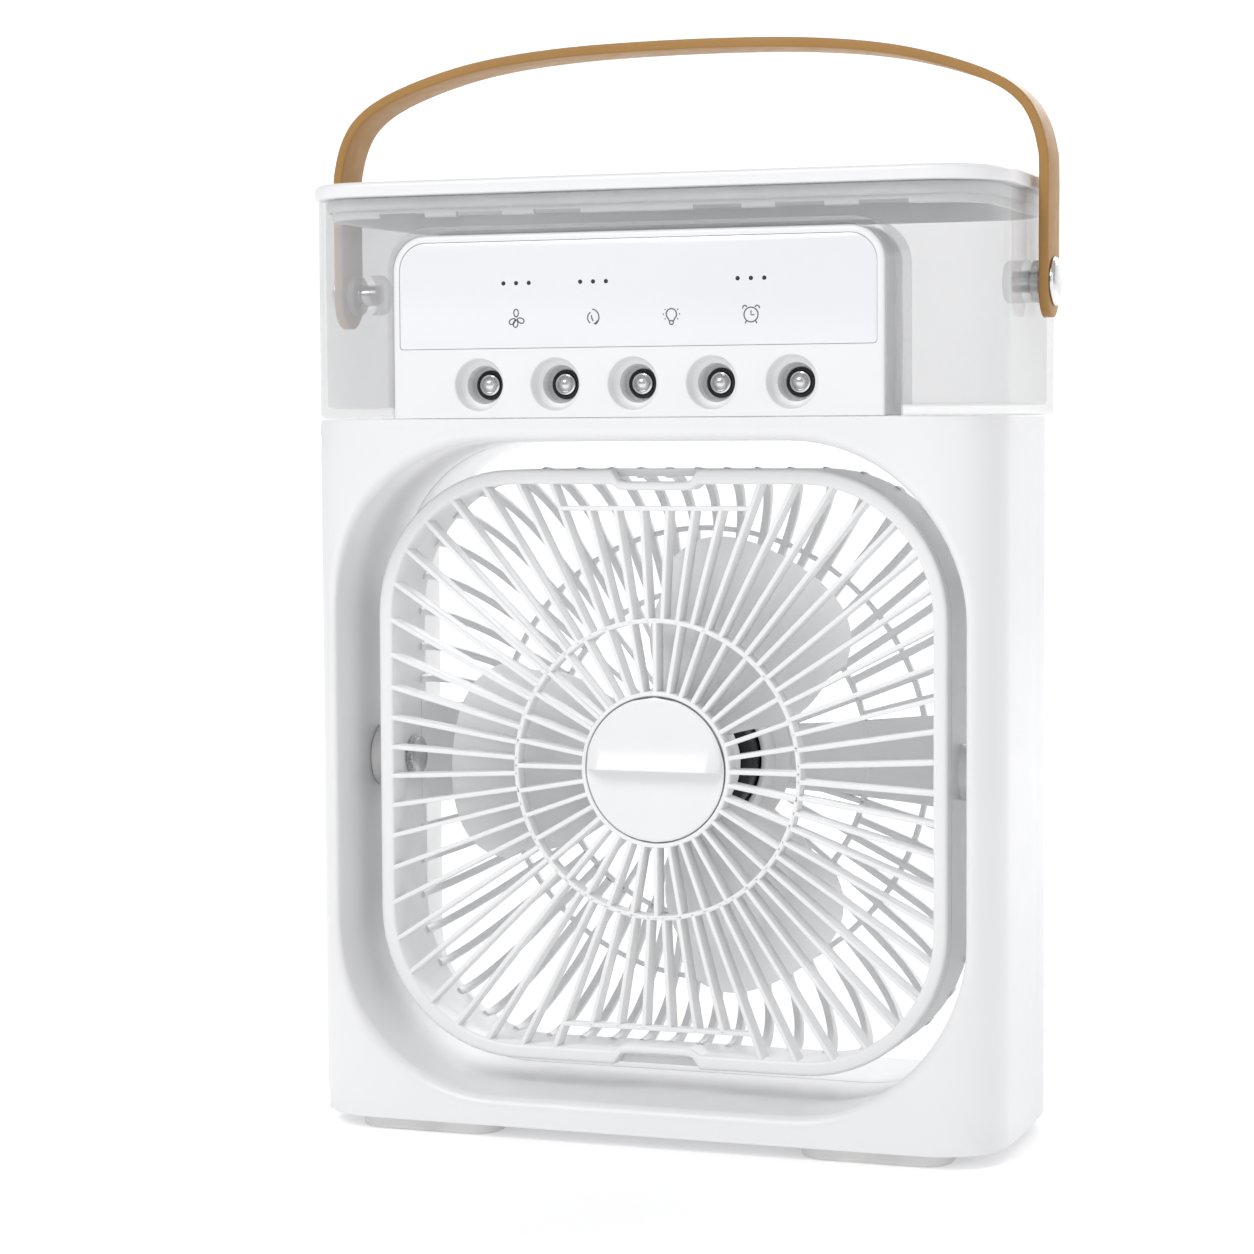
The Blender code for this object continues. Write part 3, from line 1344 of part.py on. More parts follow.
ride("lid_origin", (MIDDLE, MIDDLE, LID_BOTTOM), LID_PIECES)
shade_pieces()
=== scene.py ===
"""Looks of a small desktop evaporative fan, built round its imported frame.

A white box frame holds a tilting fan head behind a ribbed grille. A clear water tank, a control panel with
five mist nozzles, a flat lid and a tan strap handle sit on top. Metres, +Z up, front towards -Y.
"""

import sys

import json
import logging
import math
from collections.abc import Callable, Sequence
from dataclasses import dataclass, field
from enum import Enum

import bmesh
import bpy
from mathutils import Matrix, Vector


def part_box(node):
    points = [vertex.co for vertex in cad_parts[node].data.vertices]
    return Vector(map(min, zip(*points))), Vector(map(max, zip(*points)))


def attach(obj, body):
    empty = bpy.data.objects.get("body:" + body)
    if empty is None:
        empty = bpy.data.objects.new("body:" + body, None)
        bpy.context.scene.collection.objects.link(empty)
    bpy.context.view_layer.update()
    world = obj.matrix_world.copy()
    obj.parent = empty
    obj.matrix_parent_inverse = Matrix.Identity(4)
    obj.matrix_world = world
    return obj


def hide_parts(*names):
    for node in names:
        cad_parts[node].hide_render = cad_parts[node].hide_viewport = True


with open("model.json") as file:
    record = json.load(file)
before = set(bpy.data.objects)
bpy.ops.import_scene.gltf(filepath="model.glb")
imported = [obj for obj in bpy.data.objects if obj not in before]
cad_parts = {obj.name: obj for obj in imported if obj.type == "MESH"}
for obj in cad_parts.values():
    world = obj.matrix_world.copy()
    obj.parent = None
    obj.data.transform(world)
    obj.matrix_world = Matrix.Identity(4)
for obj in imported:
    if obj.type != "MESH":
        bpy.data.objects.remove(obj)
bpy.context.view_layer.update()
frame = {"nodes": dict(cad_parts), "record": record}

LOG = logging.getLogger("desktop_fan")
MM = 0.001
ORIGIN = Vector((0, 0, 0))
TO_FRONT = Vector((0, -1, 0))
TO_BACK = Vector((0, 1, 0))
GAP = 0.0003
NOZZLES = 5
SEAL_HOLE = 0.0038
Flat = tuple[float, float]
Ring = list[Vector]


class Hand(Enum):
    """The two sides of the fan."""

    LEFT = -1
    RIGHT = 1


class Sign(Enum):
    """The four printed signs on the face plate, left to right."""

    FAN = "fan"
    DROP = "drop"
    LAMP = "lamp"
    CLOCK = "clock"


# ---------------------------------------------------------------- finishes


def fill(node: bpy.types.Node, values: dict[str, object]) -> None:
    """Sets a node's inputs by name."""
    for name, value in values.items():
        node.inputs[name].default_value = value


class Shader:
    """A material's node tree with short calls for the nodes these finishes use."""

    def __init__(self, name: str) -> None:
        """Makes an empty material.

        Args:
            name: The material's name.
        """
        self.material = bpy.data.materials.new(name)
        self.material.use_nodes = True
        self.tree = self.material.node_tree
        self.surface = self.tree.nodes["Principled BSDF"]
        self.output = self.tree.nodes["Material Output"]
        self.place = self.add("ShaderNodeTexCoord").outputs["Object"]

    def add(self, kind: str, **settings: object) -> bpy.types.Node:
        """Adds a node.

        Args:
            kind: The node's type.
            settings: Properties to set on it.

        Returns:
            The node.
        """
        node = self.tree.nodes.new(kind)
        for key, value in settings.items():
            setattr(node, key, value)
        return node

    def link(self, source: bpy.types.NodeSocket, target: bpy.types.NodeSocket) -> None:
        """Links two sockets."""
        self.tree.links.new(source, target)

    def noise(self, scale: float, detail: float = 3.0,
              stretch: Sequence[float] = (1, 1, 1)) -> bpy.types.NodeSocket:
        """Adds noise on object coordinates.

        Args:
            scale: Features per metre.
            detail: Octaves.
            stretch: Scale of each axis.

        Returns:
            The noise value's socket.
        """
        mapping = self.add("ShaderNodeMapping")
        mapping.inputs["Scale"].default_value = stretch
        node = self.add("ShaderNodeTexNoise")
        fill(node, {"Scale": scale, "Detail": detail})
        self.link(self.place, mapping.inputs["Vector"])
        self.link(mapping.outputs["Vector"], node.inputs["Vector"])
        return node.outputs["Fac"]

    def spread(self, value: bpy.types.NodeSocket, low: float, high: float) -> bpy.types.NodeSocket:
        """Maps a 0 to 1 value to a range.

        Args:
            value: The value's socket.
            low: What 0.3 becomes.
            high: What 0.7 becomes.

        Returns:
            The result's socket.
        """
        node = self.add("ShaderNodeMapRange")
        fill(node, {"From Min": 0.3, "From Max": 0.7, "To Min": low, "To Max": high})
        self.link(value, node.inputs["Value"])
        return node.outputs["Result"]

    def tint(self, value: bpy.types.NodeSocket, first: Sequence[float], second: Sequence[float]) -> None:
        """Blends two base colours by a value.

        Args:
            value: The blend's socket.
            first: Colour where the value is low.
            second: Colour where it is high.
        """
        node = self.add("ShaderNodeMix", data_type="RGBA")
        colour = [socket for socket in node.inputs if socket.type == "RGBA"]
        colour[0].default_value = (*first, 1)
        colour[1].default_value = (*second, 1)
        self.link(self.spread(value, 0.0, 1.0), node.inputs["Factor"])
        result = [socket for socket in node.outputs if socket.type == "RGBA"][0]
        self.link(result, self.surface.inputs["Base Color"])

    def rough(self, value: bpy.types.NodeSocket, low: float, high: float) -> None:
        """Drives roughness between two levels."""
        self.link(self.spread(value, low, high), self.surface.inputs["Roughness"])

    def bump(self, *layers: tuple[bpy.types.NodeSocket, float, float]) -> None:
        """Stacks bump layers.

        Args:
            layers: Each a height socket, a strength and a depth in metres.
        """
        last = None
        for height, strength, depth in layers:
            node = self.add("ShaderNodeBump")
            fill(node, {"Strength": strength, "Distance": depth})
            self.link(height, node.inputs["Height"])
            if last:
                self.link(last, node.inputs["Normal"])
            last = node.outputs["Normal"]
        self.link(last, self.surface.inputs["Normal"])


@dataclass(frozen=True)
class MouldedPlastic:
    """Injection moulded plastic: a near even colour, spark grain and a faint sink waviness."""

    name: str
    colour: tuple[float, float, float]
    shade: tuple[float, float, float]
    rough_low: float = 0.30
    rough_high: float = 0.38
    grain: float = 0.10
    coat: float = 0.0
    milky: float = 0.0

    def make(self) -> bpy.types.Material:
        """Makes the material."""
        shader = Shader(self.name)
        cloud = shader.noise(16, 2)
        shader.tint(cloud, self.colour, self.shade)
        shader.rough(shader.noise(140, 4), self.rough_low, self.rough_high)
        shader.bump(
            (shader.noise(28, 1), 0.12, 0.0002),
            (shader.noise(2600, 2), self.grain, 0.00003),
        )
        fill(shader.surface, {
            "Coat Weight": self.coat, "Coat Roughness": 0.12, "IOR": 1.5,
            "Subsurface Weight": self.milky, "Subsurface Radius": (1, 1, 1), "Subsurface Scale": 0.002,
        })
        return shader.material


@dataclass(frozen=True)
class ClearPlastic:
    """Clear moulded plastic: see-through face on, greyer and more mirror-like at a glancing view."""

    name: str
    tint: tuple[float, float, float]
    face: float = 0.16
    edge: float = 0.62

    def make(self) -> bpy.types.Material:
        """Makes the material."""
        shader = Shader(self.name)
        surface = shader.surface
        fill(surface, {"Roughness": 0.05, "IOR": 1.5})
        cloud = shader.noise(22, 2)
        shader.tint(cloud, self.tint, tuple(value * 0.97 for value in self.tint))
        shader.rough(shader.noise(60, 3), 0.03, 0.09)
        shader.bump((shader.noise(35, 1), 0.1, 0.0002))
        clear = shader.add("ShaderNodeBsdfTransparent")
        clear.inputs["Color"].default_value = (0.94, 0.94, 0.943, 1)
        weight = shader.add("ShaderNodeLayerWeight")
        weight.inputs["Blend"].default_value = 0.35
        share = shader.add("ShaderNodeMapRange")
        fill(share, {"To Min": self.face, "To Max": self.edge})
        mix = shader.add("ShaderNodeMixShader")
        shader.link(weight.outputs["Facing"], share.inputs["Value"])
        shader.link(share.outputs["Result"], mix.inputs["Fac"])
        shader.link(clear.outputs["BSDF"], mix.inputs[1])
        shader.link(surface.outputs["BSDF"], mix.inputs[2])
        shader.link(mix.outputs["Shader"], shader.output.inputs["Surface"])
        return shader.material


@dataclass(frozen=True)
class Metal:
    """Bare or plated metal with fine turning marks or a polished face."""

    name: str
    colour: tuple[float, float, float]
    rough_low: float
    rough_high: float
    marks: tuple[float, float, float] = (1, 1, 1)

    def make(self) -> bpy.types.Material:
        """Makes the material."""
        shader = Shader(self.name)
        shader.surface.inputs["Metallic"].default_value = 1.0
        shader.tint(shader.noise(300, 3), self.colour, tuple(value * 0.88 for value in self.colour))
        shader.rough(shader.noise(900, 3, self.marks), self.rough_low, self.rough_high)
        shader.bump((shader.noise(1500, 2, self.marks), 0.08, 0.00002))
        return shader.material


@dataclass(frozen=True)
class Rubber:
    """Soft moulded rubber or silicone: matt, slightly mottled, with a fine skin."""

    name: str
    colour: tuple[float, float, float]
    roughness: float = 0.62

    def make(self) -> bpy.types.Material:
        """Makes the material."""
        shader = Shader(self.name)
        shader.tint(shader.noise(80, 3), self.colour, tuple(value * 0.86 for value in self.colour))
        shader.rough(shader.noise(300, 4), self.roughness - 0.06, self.roughness + 0.08)
        shader.bump((shader.noise(1800, 3), 0.2, 0.00004))
        shader.surface.inputs["Sheen Weight"].default_value = 0.08
        return shader.material


@dataclass(frozen=True)
class StrapPlastic:
    """Tan strap: satin plastic with a leather-like pebble and long faint streaks."""

    name: str
    colour: tuple[float, float, float]
    shade: tuple[float, float, float]

    def make(self) -> bpy.types.Material:
        """Makes the material."""
        shader = Shader(self.name)
        streak = shader.noise(30, 5, (1, 4, 1))
        shader.tint(streak, self.colour, self.shade)
        shader.rough(shader.noise(240, 4), 0.42, 0.56)
        pebble = shader.add("ShaderNodeTexVoronoi", feature="SMOOTH_F1")
        pebble.inputs["Scale"].default_value = 1500
        shader.link(shader.place, pebble.inputs["Vector"])
        shader.bump((pebble.outputs["Distance"], 0.22, 0.00006), (shader.noise(420, 4), 0.16, 0.00008))
        shader.surface.inputs["IOR"].default_value = 1.46
        return shader.material


@dataclass(frozen=True)
class WickFibre:
    """Pressed cotton rod: matt fibres that run along it."""

    name: str
    colour: tuple[float, float, float]

    def make(self) -> bpy.types.Material:
        """Makes the material."""
        shader = Shader(self.name)
        fibre = shader.noise(2400, 4, (1, 0.08, 1))
        shader.tint(fibre, self.colour, tuple(value * 0.8 for value in self.colour))
        shader.surface.inputs["Roughness"].default_value = 0.9
        shader.bump((fibre, 0.6, 0.0001))
        return shader.material


@dataclass(frozen=True)
class Ink:
    """Printed ink or a small dark window, slightly uneven."""

    name: str
    colour: tuple[float, float, float]

    def make(self) -> bpy.types.Material:
        """Makes the material."""
        shader = Shader(self.name)
        shader.tint(shader.noise(900, 3), self.colour, tuple(value * 1.5 for value in self.colour))
        shader.rough(shader.noise(600, 2), 0.45, 0.6)
        return shader.material


FINISHES = {
    finish.name: finish
    for finish in (
        MouldedPlastic("shell_white", (0.83, 0.832, 0.85), (0.80, 0.803, 0.82)),
        MouldedPlastic("panel_white", (0.84, 0.842, 0.856), (0.815, 0.818, 0.832), 0.28, 0.36),
        MouldedPlastic("overlay_white", (0.815, 0.822, 0.852), (0.80, 0.807, 0.837), 0.12, 0.18, 0.03, 0.35),
        MouldedPlastic("grille_white", (0.86, 0.862, 0.87), (0.83, 0.833, 0.84), 0.32, 0.40, 0.08),
        MouldedPlastic("impeller_grey", (0.88, 0.885, 0.89), (0.85, 0.855, 0.86), 0.36, 0.46, milky=0.6),
        MouldedPlastic("bush_white", (0.78, 0.78, 0.77), (0.74, 0.74, 0.73), 0.42, 0.52),
        MouldedPlastic("nylon_black", (0.020, 0.020, 0.022), (0.032, 0.032, 0.034), 0.45, 0.6, 0.2),
        MouldedPlastic("board_green", (0.02, 0.12, 0.05), (0.03, 0.15, 0.06), 0.35, 0.5, 0.15),
        ClearPlastic("tank_clear", (0.86, 0.865, 0.87), 0.10, 0.5),
        ClearPlastic("washer_clear", (0.80, 0.80, 0.80), 0.35, 0.7),
        StrapPlastic("strap_tan", (0.40, 0.215, 0.062), (0.35, 0.185, 0.052)),
        Metal("rivet_chrome", (0.82, 0.82, 0.82), 0.10, 0.18),
        Metal("screw_zinc", (0.66, 0.67, 0.69), 0.26, 0.4),
        Metal("nozzle_steel", (0.78, 0.78, 0.78), 0.12, 0.24),
        Metal("shaft_steel", (0.62, 0.62, 0.63), 0.2, 0.34, (1, 8, 1)),
        Metal("motor_black", (0.05, 0.05, 0.055), 0.35, 0.5),
        Rubber("foot_grey", (0.76, 0.76, 0.75)),
        Rubber("seal_black", (0.014, 0.014, 0.015), 0.5),
        Rubber("gasket_clear", (0.84, 0.85, 0.86), 0.45),
        WickFibre("wick_cotton", (0.78, 0.76, 0.70)),
        Ink("sign_ink", (0.10, 0.10, 0.105)),
        Ink("light_window", (0.012, 0.012, 0.013)),
    )
}
MADE: dict[str, bpy.types.Material] = {}


def finish(name: str) -> bpy.types.Material:
    """Gives a finish's material, made on first use.

    Args:
        name: The finish's name.

    Returns:
        The material.
    """
    if name not in MADE:
        MADE[name] = FINISHES[name].make()
    return MADE[name]


# ---------------------------------------------------------------- mesh tools


@dataclass(frozen=True)
class Box:
    """A CAD node's box in the row frame."""

    low: Vector
    high: Vector

    @classmethod
    def of(cls, node: str) -> "Box":
        """Reads a node's box."""
        return cls(*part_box(node))

    @property
    def middle(self) -> Vector:
        """Its middle."""
        return (self.low + self.high) / 2

    @property
    def size(self) -> Vector:
        """Its size along each axis."""
        return self.high - self.low

    @property
    def far(self) -> float:
        """Its greatest distance from the fan's middle plane."""
        return max(abs(self.low.x), abs(self.high.x))

    @property
    def near(self) -> float:
        """Its least distance from the fan's middle plane."""
        return min(abs(self.low.x), abs(self.high.x))

    def at_depth(self, y: float) -> Vector:
        """The middle of the box as seen from the front, at a depth."""
        return Vector((self.middle.x, y, self.middle.z))


def numbered(stem: str, count: int) -> list[str]:
    """Names of numbered nodes, from 1."""
    return [f"{stem}_{index + 1}" for index in range(count)]


def linked(name: str, data: bpy.types.ID) -> bpy.types.Object:
    """Puts a new object with this data in the scene."""
    obj = bpy.data.objects.new(name, data)
    bpy.context.scene.collection.objects.link(obj)
    return obj


class Shape:
    """A mesh being built from rings, turned profiles and other simple bodies."""

    def __init__(self) -> None:
        """Starts an empty mesh."""
        self.bm = bmesh.new()

    def loft(self, rings: Sequence[Sequence[Sequence[float]]], caps: bool = True,
             loop: bool = False) -> "Shape":
        """Adds a skin through rings of equal length.

        Args:
            rings: The rings, each a closed loop of points.
            caps: Whether both ends are closed with a face.
            loop: Whether the last ring joins the first.

        Returns:
            This shape.
        """
        rows = [[self.bm.verts.new(point) for point in ring] for ring in rings]
        count = len(rows[0])
        pairs = list(zip(rows, rows[1:]))
        if loop:
            pairs.append((rows[-1], rows[0]))
        for low, high in pairs:
            for index in range(count):
                after = (index + 1) % count
                self.bm.faces.new((low[index], low[after], high[after], high[index]))
        if caps and not loop:
            self.bm.faces.new(list(reversed(rows[0])))
            self.bm.faces.new(rows[-1])
        return self

    def turned(self, profile: Sequence[Flat], axis: Vector, start: Vector, steps: int = 48,
               loop: bool = False) -> "Shape":
        """Adds a turned body.

        Args:
            profile: (radius, height) points; heights run along the axis.
            axis: The axis's direction.
            start: Where height 0 is.
            steps: Facets round the axis.
            loop: Whether the profile closes on itself, as a ring's does.

        Returns:
            This shape.
        """
        turn = Vector((0, 0, 1)).rotation_difference(axis).to_matrix()
        rings = []
        for radius, height in profile:
            ring = []
            for step in range(steps):
                angle = 2 * math.pi * step / steps
                point = Vector((radius * math.cos(angle), radius * math.sin(angle), height))
                ring.append(start + turn @ point)
            rings.append(ring)
        return self.loft(rings, caps=False, loop=loop)

    def block(self, low: Sequence[float], high: Sequence[float]) -> "Shape":
        """Adds a box between two corners."""
        made = bmesh.ops.create_cube(self.bm, size=1.0)["verts"]
        bmesh.ops.scale(self.bm, vec=[b - a for a, b in zip(low, high)], verts=made)
        bmesh.ops.translate(self.bm, vec=[(a + b) / 2 for a, b in zip(low, high)], verts=made)
        return self

    def object(self, name: str, look: str | None = None, smooth: float = 35.0) -> bpy.types.Object:
        """Makes the object.

        Args:
            name: Its name.
            look: Its finish's name, or None for a cutter.
            smooth: Edges sharper than this many degrees stay crisp.

        Returns:
            The object, at the origin.
        """
        bmesh.ops.remove_doubles(self.bm, verts=self.bm.verts, dist=1e-7)
        bmesh.ops.dissolve_degenerate(self.bm, edges=self.bm.edges, dist=1e-8)
        bmesh.ops.recalc_face_normals(self.bm, faces=self.bm.faces)
        mesh = bpy.data.meshes.new(name)
        self.bm.to_mesh(mesh)
        self.bm.free()
        obj = linked(name, mesh)
        if look:
            mesh.materials.append(finish(look))
        soften(obj, smooth)
        return obj


def peg(name: str, radius: float, length: float, axis: Vector, start: Vector,
        steps: int = 28) -> bpy.types.Object:
    """Makes a plain round cutter.

    Args:
        name: Its name.
        radius: Its radius.
        length: Its length.
        axis: Its direction.
        start: The middle of its first end.
        steps: Facets round it.

    Returns:
        The cutter.
    """
    profile = [(0, 0), (radius, 0), (radius, length), (0, length)]
    return Shape().turned(profile, axis, start, steps).object(name)


def soften(obj: bpy.types.Object, degrees: float) -> None:
    """Shades an object smooth with crisp edges above an angle."""
    obj.data.shade_smooth()
    obj.data.set_sharp_from_angle(angle=math.radians(degrees))


def settle(obj: bpy.types.Object, smooth: float | None = None) -> bpy.types.Object:
    """Applies an object's modifiers.

    Args:
        obj: The object.
        smooth: Shade smooth again with this crisp angle, or None to leave shading.

    Returns:
        The same object with a plain mesh.
    """
    graph = bpy.context.evaluated_depsgraph_get()
    graph.update()
    mesh = bpy.data.meshes.new_from_object(obj.evaluated_get(graph))
    obj.modifiers.clear()
    obj.data = mesh
    if smooth is not None:
        soften(obj, smooth)
    return obj


def bevelled(obj: bpy.types.Object, width: float, angle: float = 50.0, segments: int = 3) -> bpy.types.Object:
    """Rounds an object's sharp edges.

    Args:
        obj: The object.
        width: The round's width in metres.
        angle: Edges sharper than this many degrees are rounded.
        segments: Facets across the round.

    Returns:
        The same object.
    """
    step = obj.modifiers.new("soft_edges", "BEVEL")
    step.width = width
    step.segments = segments
    step.limit_method = "ANGLE"
    step.angle_limit = math.radians(angle)
    step.use_clamp_overlap = True
    return settle(obj, 35.0)


def carved(obj: bpy.types.Object, *cutters: bpy.types.Object, how: str = "DIFFERENCE") -> bpy.types.Object:
    """Cuts, joins or trims an object with others, which are removed.

    Args:
        obj: The object.
        cutters: The other bodies.
        how: The Boolean operation.

    Returns:
        The same object.
    """
    for cutter in cutters:
        step = obj.modifiers.new("carve", "BOOLEAN")
        step.solver = "EXACT"
        step.operation = how
        step.object = cutter
    settle(obj, 32.0)
    for cutter in cutters:
        bpy.data.objects.remove(cutter, do_unlink=True)
    return obj


def joined(name: str, parts: Sequence[bpy.types.Object]) -> bpy.types.Object:
    """Puts several objects' meshes into one object, keeping their materials.

    Args:
        name: The new object's name.
        parts: The objects, which are removed.

    Returns:
        The joined object.
    """
    slots: list[bpy.types.Material] = []
    mesh = bpy.data.meshes.new(name)
    bm = bmesh.new()
    for part in parts:
        first = len(bm.faces)
        bm.from_mesh(part.data)
        bm.faces.ensure_lookup_table()
        local = list(part.data.materials)
        for material in local:
            if material not in slots:
                slots.append(material)
        for face in bm.faces[first:]:
            face.material_index = slots.index(local[face.material_index]) if local else 0
        bpy.data.objects.remove(part, do_unlink=True)
    bm.to_mesh(mesh)
    bm.free()
    for material in slots:
        mesh.materials.append(material)
    obj = linked(name, mesh)
    soften(obj, 35.0)
    return obj


def outline(half_a: float, half_b: float, radii: Sequence[float], arc: int = 10, side: int = 1,
            centre: Flat = (0.0, 0.0)) -> list[Flat]:
    """Points round a rounded rectangle, anticlockwise.

    Args:
        half_a: Half its first size.
        half_b: Half its second size.
        radii: The corner radii ++, -+, --, +-.
        arc: Facets on each corner.
        side: Facets on each straight side.
        centre: Its middle.

    Returns:
        The points, with the same count for every size.
    """
    signs = ((1, 1), (-1, 1), (-1, -1), (1, -1))
    points: list[Flat] = []
    corners = []
    for turn, ((sign_a, sign_b), radius) in enumerate(zip(signs, radii)):
        middle = (centre[0] + sign_a * (half_a - radius), centre[1] + sign_b * (half_b - radius))
        angles = [math.pi / 2 * (turn + step / arc) for step in range(arc + 1)]
        corners.append([(middle[0] + radius * math.cos(t), middle[1] + radius * math.sin(t)) for t in angles])
    for index, corner in enumerate(corners):
        points += corner
        start = corner[-1]
        end = corners[(index + 1) % 4][0]
        for step in range(1, side):
            share = step / side
            points.append((start[0] + (end[0] - start[0]) * share, start[1] + (end[1] - start[1]) * share))
    return points


def level(points: Sequence[Flat], z: float) -> Ring:
    """Lays an outline flat at height z."""
    return [Vector((a, b, z)) for a, b in points]


def upright(points: Sequence[Flat], y: float) -> Ring:
    """Stands an outline up in X and Z at depth y."""
    return [Vector((a, y, b)) for a, b in points]


def quarter(steps: int) -> list[Flat]:
    """Sine and one minus cosine through a quarter turn, for soft edges."""
    turns = [math.pi / 2 * step / steps for step in range(steps + 1)]
    return [(math.sin(turn), 1 - math.cos(turn)) for turn in turns]


# ---------------------------------------------------------------- node trees for what repeats


def named_inputs(tree: bpy.types.NodeTree, **kinds: str) -> dict[str, str]:
    """Gives a tree its geometry in and out and its named inputs.

    Args:
        tree: The geometry tree.
        kinds: Each input's name and kind of socket.

    Returns:
        Each input's identifier by name.
    """
    face = tree.interface
    face.new_socket("Geometry", in_out="INPUT", socket_type="NodeSocketGeometry")
    found = {}
    for name, kind in kinds.items():
        found[name] = face.new_socket(name, in_out="INPUT", socket_type=f"NodeSocket{kind}").identifier
    face.new_socket("Geometry", in_out="OUTPUT", socket_type="NodeSocketGeometry")
    return found


def wire(tree: bpy.types.NodeTree, *links: tuple[bpy.types.Node, str, bpy.types.Node, str | int]) -> None:
    """Links nodes; each link is a node, its output, another node and its input."""
    for source, outlet, target, inlet in links:
        tree.links.new(source.outputs[outlet], target.inputs[inlet])


class BarTree:
    """A geometry tree that turns drawn lines into rounded bars: ribs, arms and printed strokes."""

    def __init__(self, radial: bool) -> None:
        """Builds the tree with its named inputs.

        Args:
            radial: Whether bars face across their bearing from local Z, or lie flat in the local XY plane.
        """
        tree = bpy.data.node_groups.new("bars_along_lines", "GeometryNodeTree")
        self.tree = tree
        self.inputs = named_inputs(tree, Width="Float", Depth="Float", Corner="Float", Material="Material")
        nodes = tree.nodes
        start = nodes.new("NodeGroupInput")
        end = nodes.new("NodeGroupOutput")
        curve = nodes.new("GeometryNodeMeshToCurve")
        place = nodes.new("GeometryNodeInputPosition")
        across = nodes.new("ShaderNodeVectorMath")
        across.operation = "CROSS_PRODUCT"
        across.inputs[1].default_value = (0, 0, 1)
        normal = nodes.new("GeometryNodeSetCurveNormal")
        normal.mode = "FREE" if radial else "Z_UP"
        section = nodes.new("GeometryNodeCurvePrimitiveQuadrilateral")
        fillet = nodes.new("GeometryNodeFilletCurve")
        fillet.mode = "POLY"
        fill(fillet, {"Count": 2, "Limit Radius": True})
        bars = nodes.new("GeometryNodeCurveToMesh")
        bars.inputs["Fill Caps"].default_value = True
        realise = nodes.new("GeometryNodeRealizeInstances")
        dress = nodes.new("GeometryNodeSetMaterial")
        if radial:
            wire(tree, (across, "Vector", normal, "Normal"))
        wire(
            tree,
            (start, "Geometry", curve, "Mesh"),
            (place, "Position", across, 0),
            (curve, "Curve", normal, "Curve"),
            (start, "Width", section, "Width"),
            (start, "Depth", section, "Height"),
            (section, "Curve", fillet, "Curve"),
            (start, "Corner", fillet, "Radius"),
            (normal, "Curve", bars, "Curve"),
            (fillet, "Curve", bars, "Profile Curve"),
            (bars, "Mesh", realise, "Geometry"),
            (realise, "Geometry", dress, "Geometry"),
            (start, "Material", dress, "Material"),
            (dress, "Geometry", end, "Geometry"),
        )

    def bars(self, name: str, lines: Sequence[Sequence[Vector]], width: float, depth: float, corner: float,
             look: str, place: Matrix) -> bpy.types.Object:
        """Makes bars along lines drawn round the local Z axis.

        Args:
            name: The object's name.
            lines: The lines, in local space; a bar's width lies across its line and its depth along Z.
            width: A bar's width.
            depth: A bar's depth.
            corner: Its edge radius.
            look: The finish's name.
            place: Takes local space to the row frame.

        Returns:
            One object with every bar.
        """
        mesh = bpy.data.meshes.new(name)
        points = [point for line in lines for point in line]
        edges = []
        first = 0
        for line in lines:
            edges += [(first + index, first + index + 1) for index in range(len(line) - 1)]
            first += len(line)
        mesh.from_pydata(points, edges, [])
        obj = linked(name, mesh)
        step = obj.modifiers.new("bars", "NODES")
        step.node_group = self.tree
        step[self.inputs["Width"]] = width
        step[self.inputs["Depth"]] = depth
        step[self.inputs["Corner"]] = corner
        step[self.inputs["Material"]] = finish(look)
        settle(obj)
        obj.data.transform(place)
        tidy_normals(obj)
        return obj


class CopyTree:
    """A geometry tree that sets copies of one small body at points: nozzles, screws, feet, light windows."""

    def __init__(self) -> None:
        """Builds the tree with its named inputs."""
        tree = bpy.data.node_groups.new("copies_at_points", "GeometryNodeTree")
        self.tree = tree
        self.inputs = named_inputs(tree, Body="Object", Material="Material")
        nodes = tree.nodes
        start = nodes.new("NodeGroupInput")
        end = nodes.new("NodeGroupOutput")
        body = nodes.new("GeometryNodeObjectInfo")
        copies = nodes.new("GeometryNodeInstanceOnPoints")
        realise = nodes.new("GeometryNodeRealizeInstances")
        dress = nodes.new("GeometryNodeSetMaterial")
        wire(
            tree,
            (start, "Body", body, "Object"),
            (start, "Geometry", copies, "Points"),
            (body, "Geometry", copies, "Instance"),
            (copies, "Instances", realise, "Geometry"),
            (realise, "Geometry", dress, "Geometry"),
            (start, "Material", dress, "Material"),
            (dress, "Geometry", end, "Geometry"),
        )

    def copies(self, name: str, body: bpy.types.Object, places: Sequence[Vector],
               look: str) -> bpy.types.Object:
        """Sets copies of a body at points and removes the body.

        Args:
            name: The new object's name.
            body: The body, built round the origin.
            places: Where the copies go.
            look: The finish's name.

        Returns:
            One object with every copy.
        """
        mesh = bpy.data.meshes.new(name)
        mesh.from_pydata(list(places), [], [])
        obj = linked(name, mesh)
        step = obj.modifiers.new("copies", "NODES")
        step.node_group = self.tree
        step[self.inputs["Body"]] = body
        step[self.inputs["Material"]] = finish(look)
        settle(obj, 35.0)
        bpy.data.objects.remove(body, do_unlink=True)
        return obj


def tidy_normals(obj: bpy.types.Object) -> None:
    """Merges doubles and turns every face outwards."""
    bm = bmesh.new()
    bm.from_mesh(obj.data)
    bmesh.ops.remove_doubles(bm, verts=bm.verts, dist=1e-7)
    bmesh.ops.recalc_face_normals(bm, faces=bm.faces)
    bm.to_mesh(obj.data)
    bm.free()
    soften(obj, 35.0)


# ---------------------------------------------------------------- the fan's shared places


